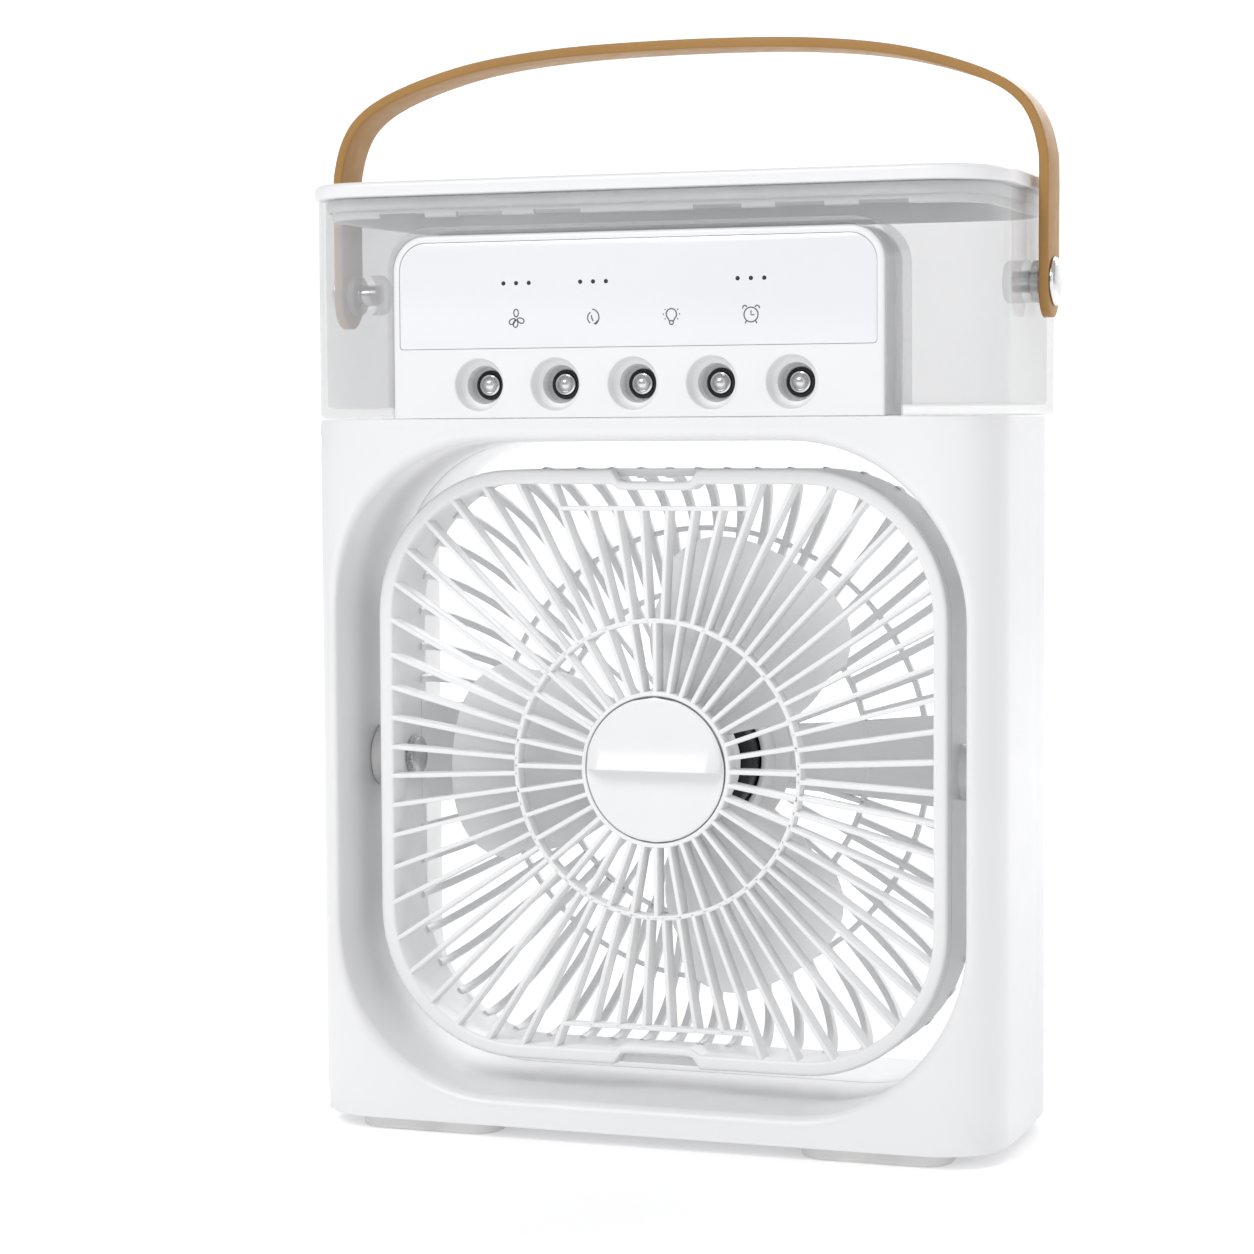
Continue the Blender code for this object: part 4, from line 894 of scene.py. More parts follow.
@dataclass(frozen=True)
class Places:
    """Boxes and joint places that the sub-assemblies share, read from the frame."""

    front: tuple[Vector, Vector]
    rear: tuple[Vector, Vector]
    tank: tuple[Vector, Vector]
    lid: tuple[Vector, Vector]
    panel: tuple[Vector, Vector]
    grille: tuple[Vector, Vector]
    head: tuple[Vector, Vector]
    pivot: Vector
    spin: Vector
    swing: Vector

    @staticmethod
    def read() -> "Places":
        """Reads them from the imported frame."""
        joints = {joint["name"]: joint for joint in frame["record"]["behaviour"]["joints"]}
        boxes = [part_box(node) for node in (
            "front_frame", "rear_frame", "water_tank", "tank_lid", "control_panel", "front_grille",
            "head_shell"
        )]
        anchors = [Vector(joints[name]["pos_m"]) for name in ("head_tilt", "impeller_spin", "handle_swing")]
        return Places(*boxes, *anchors)


def settle_piece(obj: bpy.types.Object, body: str, slot: str, *nodes: str) -> bpy.types.Object:
    """Puts a finished piece on its body in place of CAD nodes, and reports it.

    Args:
        obj: The piece.
        body: The body it rides on.
        slot: The record's material slot; not used.
        nodes: The CAD nodes it stands for.

    Returns:
        The piece.
    """
    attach(obj, body)
    if nodes:
        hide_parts(*nodes)
    LOG.info("%s on %s: %d faces", obj.name, body, len(obj.data.polygons))
    return obj


# ---------------------------------------------------------------- frame


@dataclass
class FrameShells:
    """The front and rear shells of the box frame, with the rounded opening through them."""

    places: Places
    side_bar: float = 0.009
    top_bar: float = 0.0064
    bottom_bar: float = 0.0083
    front_corner: float = 0.020
    rear_corner: float = 0.030
    opening_front_corner: float = 0.050
    opening_rear_corner: float = 0.034
    lip: float = 0.0032
    rear_lip: float = 0.0016
    edge: float = 0.0009
    arc: int = 18
    side: int = 10

    def opening(self, grow: float, y: float) -> list[Flat]:
        """The opening's outline at a depth, grown outwards.

        Args:
            grow: How far it is grown.
            y: The depth.

        Returns:
            The outline in X and Z.
        """
        front = self.places.front[0]
        rear = self.places.rear[1]
        share = min(max((y - front.y) / (rear.y - front.y), 0.0), 1.0)
        corner = self.opening_front_corner + (self.opening_rear_corner - self.opening_front_corner) * share
        half_x, half_z, middle = self.opening_size()
        return outline(half_x + grow, half_z + grow, [corner + grow] * 4, self.arc, self.side, (0.0, middle))

    def opening_size(self) -> tuple[float, float, float]:
        """Half width, half height and middle height of the opening."""
        low, high = self.places.front
        top = high.z - self.top_bar
        bottom = low.z + self.bottom_bar
        return high.x - self.side_bar, (top - bottom) / 2, (top + bottom) / 2

    def shell(self, name: str, facing: int, half: float, corner: float, lip: float,
              split: float) -> bpy.types.Object:
        """One shell, as a skin that runs from its joint face through the opening, over its face and back.

        Args:
            name: The object's name.
            facing: -1 for the front shell and 1 for the rear one.
            half: Half the shell's width.
            corner: The radius of its upright corners, seen from above.
            lip: The radius of the opening's edge.
            split: The depth of its joint face.

        Returns:
            The object.
        """
        low, high = self.places.front
        face = facing * max(abs(low.y), abs(self.places.rear[1].y))
        flat = half - corner
        _, _, middle = self.opening_size()

        def surface(x: float) -> float:
            """Depth of the shell's face at x."""
            over = min(max(abs(x) - flat, 0.0), corner)
            return face - facing * (corner - math.sqrt(max(corner * corner - over * over, 0.0)))

        def unrolled(x: float) -> float:
            """Distance along the face from the middle to x."""
            over = min(max(abs(x) - flat, 0.0), corner)
            run = min(abs(x), flat) + corner * math.asin(over / corner)
            return math.copysign(run, x)

        def rolled(run: float) -> float:
            """The x at a distance along the face."""
            over = max(abs(run) - flat, 0.0)
            out = min(abs(run), flat) + corner * math.sin(min(over / corner, math.pi / 2))
            return math.copysign(out, run)

        rings = []
        inner_y = face - facing * lip
        for step in range(7):
            points = self.opening(0.0, split + (inner_y - split) * step / 6)
            rings.append([Vector((x, split + (surface(x) - facing * lip - split) * step / 6, z))
                          for x, z in points])
        base = self.opening(0.0, inner_y)
        wide = self.opening(lip, inner_y)
        spread = [((b[0] - a[0]) / lip, (b[1] - a[1]) / lip) for a, b in zip(base, wide)]
        for sine, fall in quarter(7):
            ring = []
            for (x, z), (nx, nz) in zip(base, spread):
                px = x + nx * lip * fall
                pz = z + nz * lip * fall
                ring.append(Vector((px, surface(px) - facing * lip * (1 - sine), pz)))
            rings.append(ring)
        reach = flat + corner * math.pi / 2
        edge_points = [(unrolled(point.x), point.z) for point in rings[-1]]
        outer = self.border(edge_points, reach, low.z, high.z, middle)
        for step in range(1, 13):
            share = step / 12
            ring = []
            for (run, z), (far, far_z) in zip(edge_points, outer):
                x = rolled(run + (far - run) * share)
                ring.append(Vector((x, surface(x), z + (far_z - z) * share)))
            rings.append(ring)
        last = rings[-1]
        for step in range(1, 5):
            share = step / 4
            rings.append([Vector((point.x, point.y + (split - point.y) * share, point.z)) for point in last])
        return bevelled(Shape().loft(rings, loop=True).object(name, "shell_white"), self.edge)

    @staticmethod
    def border(inner: Sequence[Flat], reach: float, low: float, high: float, middle: float) -> list[Flat]:
        """Where rays from the middle through an inner loop meet the face's border, with its corners kept.

        Args:
            inner: The inner loop, along the face and up.
            reach: Half the border's width along the face.
            low: Its lowest height.
            high: Its highest height.
            middle: The height the rays start from.

        Returns:
            One border point for each inner point.
        """
        found = []
        angles = []
        for run, z in inner:
            rise = z - middle
            limit = (high - middle) if rise > 0 else (low - middle)
            grow = min(reach / max(abs(run), 1e-9), limit / rise if abs(rise) > 1e-9 else 1e9)
            found.append((run * grow, middle + rise * grow))
            angles.append(math.atan2(rise, run))
        for corner in ((reach, high), (-reach, high), (-reach, low), (reach, low)):
            wanted = math.atan2(corner[1] - middle, corner[0])
            nearest = min(range(len(angles)), key=lambda index: abs(angles[index] - wanted))
            found[nearest] = corner
        return found

    def build(self) -> None:
        """Builds both shells and dresses them."""
        _, front_high = self.places.front
        rear_low, rear_high = self.places.rear
        front = self.shell("front_shell", -1, front_high.x, self.front_corner, self.lip, front_high.y)
        settle_piece(front, "body", "front_frame", "front_frame")
        rear = self.shell("rear_shell", 1, rear_high.x, self.rear_corner, self.rear_lip, rear_low.y)
        sinks = []
        for index in range(4):
            screw = Box.of(f"shell_screw_{index + 1}")
            radius = screw.size.x / 2 + 0.0006
            seat = screw.high.y - 0.0021
            profile = [(0, 0), (radius, 0), (radius, 0.0315), (radius + 0.001, 0.04), (0, 0.04)]
            sinks.append(Shape().turned(profile, TO_BACK, screw.at_depth(seat), 32).object(f"sink_{index}"))
        inlet = Box.of("power_inlet")
        half_x = inlet.size.x / 2 + GAP
        half_z = inlet.size.z / 2 + GAP
        points = outline(half_x, half_z, [half_z * 0.8] * 4, 8, 1, (inlet.middle.x, inlet.middle.z))
        pocket = [upright(points, y) for y in (inlet.low.y - GAP, rear_high.y + 0.01)]
        sinks.append(Shape().loft(pocket).object("inlet_pocket"))
        carved(rear, *sinks)
        settle_piece(rear, "body", "rear_frame", "rear_frame")


@dataclass
class Feet:
    """Four low grey pads with a rounded tread edge."""

    copier: CopyTree
    soft: float = 0.0012

    def build(self) -> None:
        """Builds the pads."""
        names = [f"foot_{row}_{hand}" for row in ("front", "rear") for hand in ("left", "right")]
        boxes = [Box.of(name) for name in names]
        half_x, half_y = boxes[0].size.x / 2, boxes[0].size.y / 2
        corner = 0.008
        rings = []
        for sine, fall in reversed(quarter(5)):
            inset = self.soft * fall
            rings.append(level(outline(half_x - inset, half_y - inset, [corner - inset] * 4, 10, 2),
                               self.soft * (1 - sine)))
        rings.append(level(outline(half_x, half_y, [corner] * 4, 10, 2), boxes[0].size.z))
        pad = Shape().loft(rings).object("foot_body", "foot_grey")
        places = [Vector((box.middle.x, box.middle.y, box.low.z)) for box in boxes]
        settle_piece(self.copier.copies("foot_pads", pad, places, "foot_grey"), "body", "foot", *names)


# ---------------------------------------------------------------- fan head


@dataclass
class FanHead:
    """The tilting head: ribbed front grille, hub cap, side wall and rear cage."""

    places: Places
    bars: BarTree
    corner: float = 0.042
    rim: float = 0.0042
    wall: float = 0.002
    hub: float = 0.0223
    ring: float = 0.0430
    ring_width: float = 0.0014
    rib_width: float = 0.00135
    rib_depth: float = 0.0062
    inner_ribs: int = 36
    outer_ribs: int = 60
    rear_ribs: int = 60
    bar_setback: float = 0.011
    bar_ribs: int = 4
    notch_half: float = 0.0128
    notch_depth: float = 0.0034
    cage_start: float = -0.001
    cage_inset: float = 0.024
    rear_hub: float = 0.026
    rear_ring: float = 0.050
    cap_radius: float = 0.0206
    cap_proud: float = 0.0004
    upright_place: Matrix = field(default_factory=Matrix)

    def __post_init__(self) -> None:
        """Works out the head's middle and its turn from the ribs' flat drawing to upright."""
        low, high = self.places.grille
        self.half = (high.x - low.x) / 2
        self.half_z = (high.z - low.z) / 2
        self.middle = self.places.spin
        self.face = low.y
        self.back = self.places.head[1].y
        stand = Matrix.Rotation(math.pi / 2, 4, "X")
        self.upright_place = Matrix.Translation((0, 0, self.middle.z)) @ stand
        self.hub_axis = Vector((0, 0, self.middle.z))

    def drawn(self, distance: float, bearing: float, y: float) -> Vector:
        """A point in the ribs' drawing, where local Z is depth towards the front.

        Args:
            distance: From the hub's axis.
            bearing: Angle from +X, anticlockwise from the front.
            y: Depth in the row frame.

        Returns:
            The local point.
        """
        return Vector((distance * math.cos(bearing), distance * math.sin(bearing), -y))

    def reach(self, bearing: float, inset: float) -> float:
        """Distance from the axis to the head's outline, inset, along a bearing.

        Args:
            bearing: The angle from +X.
            inset: How far inside the outline.

        Returns:
            The distance.
        """
        half_a = self.half - inset
        half_b = self.half_z - inset
        radius = self.corner - inset
        cosine = abs(math.cos(bearing))
        sine = abs(math.sin(bearing))
        low, high = 0.0, half_a + half_b
        for _ in range(36):
            middle = (low + high) / 2
            a, b = middle * cosine, middle * sine
            over_a, over_b = max(a - half_a + radius, 0.0), max(b - half_b + radius, 0.0)
            if over_a and over_b:
                inside = math.hypot(over_a, over_b) <= radius
            else:
                inside = a <= half_a and b <= half_b
            low, high = (middle, high) if inside else (low, middle)
        return low

    def head_ring(self, inset: float, y: float, arc: int = 14, side: int = 6) -> Ring:
        """The head's outline, inset, at a depth."""
        radius = max(self.corner - inset, 0.002)
        return upright(outline(self.half - inset, self.half_z - inset, [radius] * 4, arc, side,
                               (self.middle.x, self.middle.z)), y)

    def notched(self, inset: float, y: float, depth: float) -> Ring:
        """The rim's outline with a finger notch at the middle of its top and bottom.

        Args:
            inset: How far inside the head's outline.
            y: The depth.
            depth: How far the notch dips.

        Returns:
            The ring.
        """
        slant = 0.0026
        points = []
        for point in self.head_ring(inset, y, 14, 40):
            across = abs(point.x - self.middle.x)
            share = min(max((self.notch_half - across) / slant, 0.0), 1.0)
            share = share * share * (3 - 2 * share)
            rise = point.z - self.middle.z
            points.append(Vector((point.x, point.y, point.z - math.copysign(depth * share, rise))))
        return points

    def rim_piece(self) -> bpy.types.Object:
        """The rim: a rounded band that dips at the finger notches, with a skirt behind it."""
        front = self.face
        back = front + 0.0045
        soft = 0.0011
        dip = self.notch_depth
        inner_dip = dip * 0.5
        path = [(0.0, back, dip)]
        for sine, fall in quarter(4):
            path.append((soft * fall, front + soft * (1 - sine), dip))
        for sine, fall in reversed(quarter(4)):
            path.append((self.rim - soft * fall, front + soft * (1 - sine), inner_dip))
        path += [(self.rim, back + 0.0035, inner_dip), (self.wall + 0.0004, back + 0.0035, inner_dip),
                 (self.wall + 0.0004, back, inner_dip)]
        rings = [self.notched(inset, y, depth) for inset, y, depth in path]
        return Shape().loft(rings, loop=True).object("rim", "grille_white")

    def round_band(self, name: str, inner: float, outer: float, front: float,
                   back: float) -> bpy.types.Object:
        """A flat ring round the hub's axis with softly rounded front edges.

        Args:
            name: The object's name.
            inner: Its inner radius.
            outer: Its outer radius.
            front: Its front depth.
            back: Its back depth.

        Returns:
            The ring.
        """
        soft = min(0.0005, (outer - inner) * 0.35)
        profile = [(inner, back)]
        profile += [(inner + soft * fall, front + soft * (1 - sine)) for sine, fall in quarter(3)]
        profile += [(outer - soft * fall, front + soft * (1 - sine)) for sine, fall in reversed(quarter(3))]
        profile += [(outer, back)]
        return Shape().turned(profile, TO_BACK, self.hub_axis, 96, loop=True).object(name, "grille_white")

    def bar_height(self) -> float:
        """Height of the crossbars above the hub's axis."""
        return self.half_z - self.bar_setback

    def grille(self) -> None:
        """Builds the front grille: rim, rings, ribs and crossbars in one piece."""
        front = self.face + 0.0002
        depth = self.rib_depth
        mid = front + depth / 2
        lines = []
        pitch = 2 * math.pi / self.inner_ribs
        for index in range(self.inner_ribs):
            bearing = index * pitch
            ends = (self.hub - 0.0006, self.ring - 0.0004)
            lines.append([self.drawn(distance, bearing, mid) for distance in ends])
        pitch = 2 * math.pi / self.outer_ribs
        span = (self.bar_ribs - 0.5) * pitch
        for index in range(self.outer_ribs):
            bearing = (index + 0.5) * pitch
            end = self.reach(bearing, self.rim - 0.0008)
            if abs((bearing % math.pi) - math.pi / 2) < span - pitch * 0.3:
                end = self.bar_height() / abs(math.sin(bearing))
            lines.append([self.drawn(distance, bearing, mid) for distance in (self.ring - 0.0008, end)])
        parts = [self.bars.bars("ribs", lines, self.rib_width, depth, 0.00045, "grille_white",
                                self.upright_place)]
        half_bar = self.bar_height() * math.tan(span)
        for up in (1, -1):
            height = self.middle.z + up * self.bar_height()
            half = self.rib_width / 2
            body = Shape().block((-half_bar, front, height - half),
                                 (half_bar, front + depth * 0.55, height + half))
            parts.append(bevelled(body.object("crossbar", "grille_white"), 0.0004, segments=2))
        parts.append(self.rim_piece())
        parts.append(self.round_band("ring", self.ring - self.ring_width, self.ring, front, front + 0.0048))
        seat = self.cap_radius + GAP
        parts.append(self.round_band("hub_ring", seat, self.hub, front - 0.0001, front + 0.0052))
        floor = [(0.0, front + 0.0026), (seat + 0.0004, front + 0.0026), (seat + 0.0004, front + 0.0046),
                 (0.0, front + 0.0046)]
        parts.append(Shape().turned(floor, TO_BACK, self.hub_axis, 64).object("hub_floor", "grille_white"))
        settle_piece(joined("grille", parts), "fan_head", "front_grille", "front_grille")

    def cap(self) -> None:
        """Builds the hub cap, whose upper half swells forwards to a grip edge over a hollow lower half."""
        radius = self.cap_radius
        face = self.face - self.cap_proud
        columns = 64
        rows = 30

        def swell(x: float, z: float) -> float:
            """How far the cap stands forward at a place."""
            share = math.sqrt(max(1 - (x / (radius * 0.985)) ** 2, 0.0))
            lift = min(share * 1.7, 1.0)
            if z >= 0:
                rise = 0.0036 * math.exp(-((z / 0.0055) ** 1.25))
            else:
                rise = -0.0007 * math.exp(-((z / 0.012) ** 2)) + 0.0043 * max(0.0, 1 + z / 0.00035)
            return rise * lift

        heights = self.cap_rows(rows, radius)
        grid = Shape()
        verts = []
        for z in heights:
            width = math.sqrt(max(radius * radius - z * z, 0.0))
            row = []
            for column in range(columns + 1):
                x = width * math.sin(math.pi / 2 * (2 * column / columns - 1))
                away = radius - math.hypot(x, z)
                edge = 0.0005 * (1 - min(max(away / 0.0008, 0.0), 1.0)) ** 2
                row.append(grid.bm.verts.new((x, face - swell(x, z) + edge, self.middle.z + z)))
            verts.append(row)
        for low, high in zip(verts, verts[1:]):
            for column in range(columns):
                grid.bm.faces.new((low[column], low[column + 1], high[column + 1], high[column]))
        front = grid.object("cap_face", "panel_white", 60.0)
        step = front.modifiers.new("thick", "SOLIDIFY")
        step.thickness = 0.0016
        step.offset = -1
        settle(front, 50.0)
        settle_piece(front, "fan_head", "hub_cap", "hub_cap")

    @staticmethod
    def cap_rows(rows: int, radius: float) -> list[float]:
        """Heights of the cap's rows, closer together at the grip edge."""
        upper = [radius * (step / rows) ** 1.6 for step in range(1, rows + 1)]
        lower = [-radius * (step / rows) ** 1.4 - 0.00035 for step in range(0, rows + 1)]
        lower = [max(value, -radius) for value in lower]
        return sorted(set(lower + [-0.0001, 0.0] + upper))

    def cage_path(self, bearing: float, inset: float, steps: int = 9) -> list[Vector]:
        """A rear rib's line: along the side wall, round the hooked shoulder and in to the rear ring.

        Args:
            bearing: The rib's angle.
            inset: How far inside the head's outside.
            steps: Facets round the shoulder.

        Returns:
            Local points.
        """
        edge = self.reach(bearing, inset)
        deep = self.back - inset
        line = [self.drawn(edge, bearing, self.cage_start - 0.002)]
        rise = deep - self.cage_start
        for step in range(steps + 1):
            turn = math.pi / 2 * step / steps
            line.append(self.drawn(edge - self.cage_inset * (1 - math.cos(turn)), bearing,
                                   self.cage_start + rise * math.sin(turn)))
        return line

    def shell(self) -> None:
        """Builds the head's side wall, rear ribs, rings, motor arms, cup and pivot bosses in one piece."""
        front = self.places.head[0].y
        wall = self.wall
        start = self.cage_start
        rings = [self.head_ring(0.0, front + 0.0003), self.head_ring(0.0, start),
                 self.head_ring(0.0005, start + 0.0016),
                 self.head_ring(wall, start + 0.0016), self.head_ring(wall, front + 0.0003)]
        parts = [Shape().loft(rings, loop=True).object("side_wall", "grille_white")]
        pitch = 2 * math.pi / self.rear_ribs
        arm = math.radians(11)
        lines = []
        short = []
        for index in range(self.rear_ribs):
            bearing = (index + 0.5) * pitch
            if abs(math.sin(bearing)) < math.sin(arm):
                continue
            path = self.cage_path(bearing, 0.0012)
            path.append(self.drawn(self.rear_ring, bearing, self.back - 0.0012))
            lines.append(path)
            if index % 2:
                short.append([self.drawn(distance, bearing, self.back - 0.0012)
                              for distance in (self.rear_ring, self.rear_hub - 0.001)])
        parts.append(self.bars.bars("rear_ribs", lines, 0.0023, 0.0030, 0.0006, "grille_white",
                                    self.upright_place))
        parts.append(self.bars.bars("rear_inner_ribs", short, 0.0016, 0.0024, 0.0005, "grille_white",
                                    self.upright_place))
        back = self.back
        for index, radius in enumerate((self.rear_ring, self.rear_ring + 0.018)):
            parts.append(self.round_band(f"rear_ring_{index}", radius - 0.0016, radius, back - 0.0024,
                                         back - 0.0002))
        parts += self.arms()
        parts.append(self.cup())
        parts += [self.boss(hand) for hand in Hand]
        settle_piece(joined("head_cage", parts), "fan_head", "head_shell", "head_shell")

    def arms(self) -> list[bpy.types.Object]:
        """The two wide arms that carry the motor, out from the rear hub and round to the side wall."""
        made = []
        for hand in Hand:
            rings = []
            stations = []
            for step in range(4):
                stations.append((self.rear_hub - 0.002 + 0.006 * step, self.back, 0.0095 + 0.0004 * step))
            edge = self.half
            rise = self.back - self.cage_start
            for step in range(9, -1, -1):
                turn = math.pi / 2 * step / 9
                out = edge - self.cage_inset * (1 - math.cos(turn))
                half = 0.0125 + 0.0035 * (9 - step) / 9
                stations.append((out, self.cage_start + rise * math.sin(turn), half))
            stations.append((edge, self.cage_start - 0.002, 0.0162))
            for index, (out, y, half) in enumerate(stations):
                before = stations[max(index - 1, 0)]
                after = stations[min(index + 1, len(stations) - 1)]
                run = Vector((after[0] - before[0], after[1] - before[1])).normalized()
                into = Vector((run.y, -run.x)) * 0.0022
                if into.y > 0:
                    into = -into
                section = []
                for depth, shrink in ((0.0, 0.0006), (0.25, 0.0), (0.75, 0.0), (1.0, 0.0004)):
                    point = Vector((out, y)) + into * depth
                    section.append((point, half - shrink))
                loop = [Vector((hand.value * point.x, point.y, self.middle.z + wide))
                        for point, wide in section]
                loop += [Vector((hand.value * point.x, point.y, self.middle.z - wide))
                         for point, wide in reversed(section)]
                rings.append(loop)
            made.append(Shape().loft(rings).object(f"motor_arm_{hand.name.lower()}", "grille_white"))
        return made

    def cup(self) -> bpy.types.Object:
        """The rear hub: a plate with a cup round the motor."""
        inner = Box.of("motor_can").size.x / 2 + 0.0004
        outer = inner + 0.0018
        back = self.back
        profile = [(0, back), (self.rear_hub - 0.0012, back), (self.rear_hub, back - 0.0012),
                   (self.rear_hub, back - 0.0026),
                   (outer, back - 0.0036), (outer, back - 0.0125), (outer - 0.0004, back - 0.013),
                   (inner + 0.0004, back - 0.013), (inner, back - 0.0125), (inner, back - 0.0021),
                   (0, back - 0.0021)]
        return Shape().turned(profile, TO_BACK, self.hub_axis, 72).object("cup", "grille_white")

    def boss(self, hand: Hand) -> bpy.types.Object:
        """The round boss on one side that turns against the frame's bush."""
        outer = self.places.head[1].x
        radius = 0.0078
        length = outer - self.half + 0.0012
        profile = [(0, 0), (radius + 0.001, 0), (radius, 0.0016), (radius, length - 0.0006),
                   (radius - 0.0006, length), (0, length)]
        start = Vector((hand.value * (outer - length), self.places.pivot.y, self.places.pivot.z))
        boss = Shape().turned(profile, Vector((hand.value, 0, 0)), start, 48)
        return boss.object(f"boss_{hand.name}", "grille_white")

    def build(self) -> None:
        """Builds the head's pieces."""
        self.grille()
        self.cap()
        self.shell()


@dataclass
class Pivots:
    """The bushes on the frame and the steel pins the head turns on."""

    places: Places
    side_bar: float = 0.009
    shank: float = 0.0035

    def build(self) -> None:
        """Builds both sides."""
        for hand in Hand:
            name = hand.name.lower()
            axis = Vector((-hand.value, 0, 0))
            bush_box = Box.of(f"pivot_bush_{name}")
            radius = bush_box.size.z / 2
            wall = self.places.front[1].x - self.side_bar - GAP
            rim = wall - bush_box.near
            depth = bush_box.far - wall
            start = Vector((hand.value * wall, self.places.pivot.y, self.places.pivot.z))
            profile = [(0.0039, rim - 0.0004), (0.0043, rim), (radius - 0.001, rim),
                       (radius - 0.0003, rim - 0.0003),
                       (radius, rim - 0.001), (radius, 0), (0.0052, 0), (0.0052, -depth), (0.0039, -depth)]
            bush = Shape().turned(profile, axis, start, 48, loop=True).object(f"bush_{name}", "bush_white")
            settle_piece(bush, "body", "pivot_bush", f"pivot_bush_{name}")
            pin_box = Box.of(f"pivot_pin_{name}")
            head = pin_box.size.z / 2
            shank = self.shank
            length = pin_box.far - pin_box.near
            profile = [(0, 0), (head - 0.0008, 0), (head - 0.0002, 0.0003), (head, 0.0009), (head, 0.0022),
                       (shank, 0.0022), (shank, length - 0.0006), (shank - 0.0006, length), (0, length)]
            start = Vector((hand.value * pin_box.near, self.places.pivot.y, self.places.pivot.z))
            pin = Shape().turned(profile, -axis, start, 40).object(f"pin_{name}", "shaft_steel")
            settle_piece(pin, "fan_head", "pivot_pin", f"pivot_pin_{name}")


@dataclass
class Motor:
    """The small motor behind the impeller, with its three screws."""

    places: Places
    copier: CopyTree

    def build(self) -> None:
        """Builds the can, its vents and the screws."""
        low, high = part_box("motor_can")
        radius = (high.x - low.x) / 2
        length = high.y - low.y
        bore = 0.0018
        axis = TO_FRONT
        middle = self.places.spin.z
        profile = [(bore, length - 0.012), (bore, length), (0.004, length), (0.0042, length - 0.0015),
                   (radius - 0.0022, length - 0.0015), (radius - 0.0006, length - 0.0021),
                   (radius, length - 0.0036),
                   (radius, 0.0009), (radius - 0.0009, 0), (0, 0)]
        can = Shape().turned(profile, axis, Vector((0, high.y, middle)), 72).object("can", "motor_black")
        slots = []
        for index in range(8):
            angle = math.pi / 4 * (index + 0.5)
            centre = Vector((0.0125 * math.cos(angle), low.y + 0.0005, middle + 0.0125 * math.sin(angle)))
            slots.append(peg(f"vent_{index}", 0.0021, 0.0042, TO_BACK, centre, 20))
        carved(can, *slots)
        settle_piece(can, "fan_head", "motor_can", "motor_can")
        names = numbered("motor_screw", 3)
        boxes = [Box.of(name) for name in names]
        head = 0.0015
        body = screw_body("motor_screw_body", 0.0026, head, 0.0012, boxes[0].size.y - head)
        seats = [box.at_depth(box.high.y - head) for box in boxes]
        screws = self.copier.copies("motor_screws", body, seats, "screw_zinc")
        settle_piece(screws, "fan_head", "motor_screw", *names)


def screw_body(name: str, head: float, height: float, shank: float, length: float) -> bpy.types.Object:
    """A cross-head screw at the origin, its head towards +Y and its seat at Y 0.

    Args:
        name: The object's name.
        head: The head's radius.
        height: The head's height.
        shank: The shank's radius.
        length: The shank's length.

    Returns:
        The screw.
    """
    soft = height * 0.35
    profile = [(0, height), (head * 0.55, height * 0.97), (head - soft, height * 0.8),
               (head - soft * 0.3, height * 0.5),
               (head, height * 0.2), (head, 0), (shank, 0)]
    turns = int(length / 0.0011)
    for turn in range(turns):
        top = -length * (turn + 0.2) / (turns + 0.6)
        profile += [(shank * 0.8, top), (shank, top - length * 0.45 / (turns + 0.6))]
    profile += [(shank * 0.8, -length + shank * 0.6), (0, -length)]
    body = Shape().turned(profile, TO_BACK, ORIGIN, 28).object(name, "screw_zinc")
    reach = head * 0.58
    half = head * 0.12
    deep = height * 0.45
    arms = [
        Shape().block((-reach, deep, -half), (reach, height * 2, half)).object("cross_a"),
        Shape().block((-half, deep, -reach), (half, height * 2, reach)).object("cross_b"),
    ]
    return carved(body, *arms)


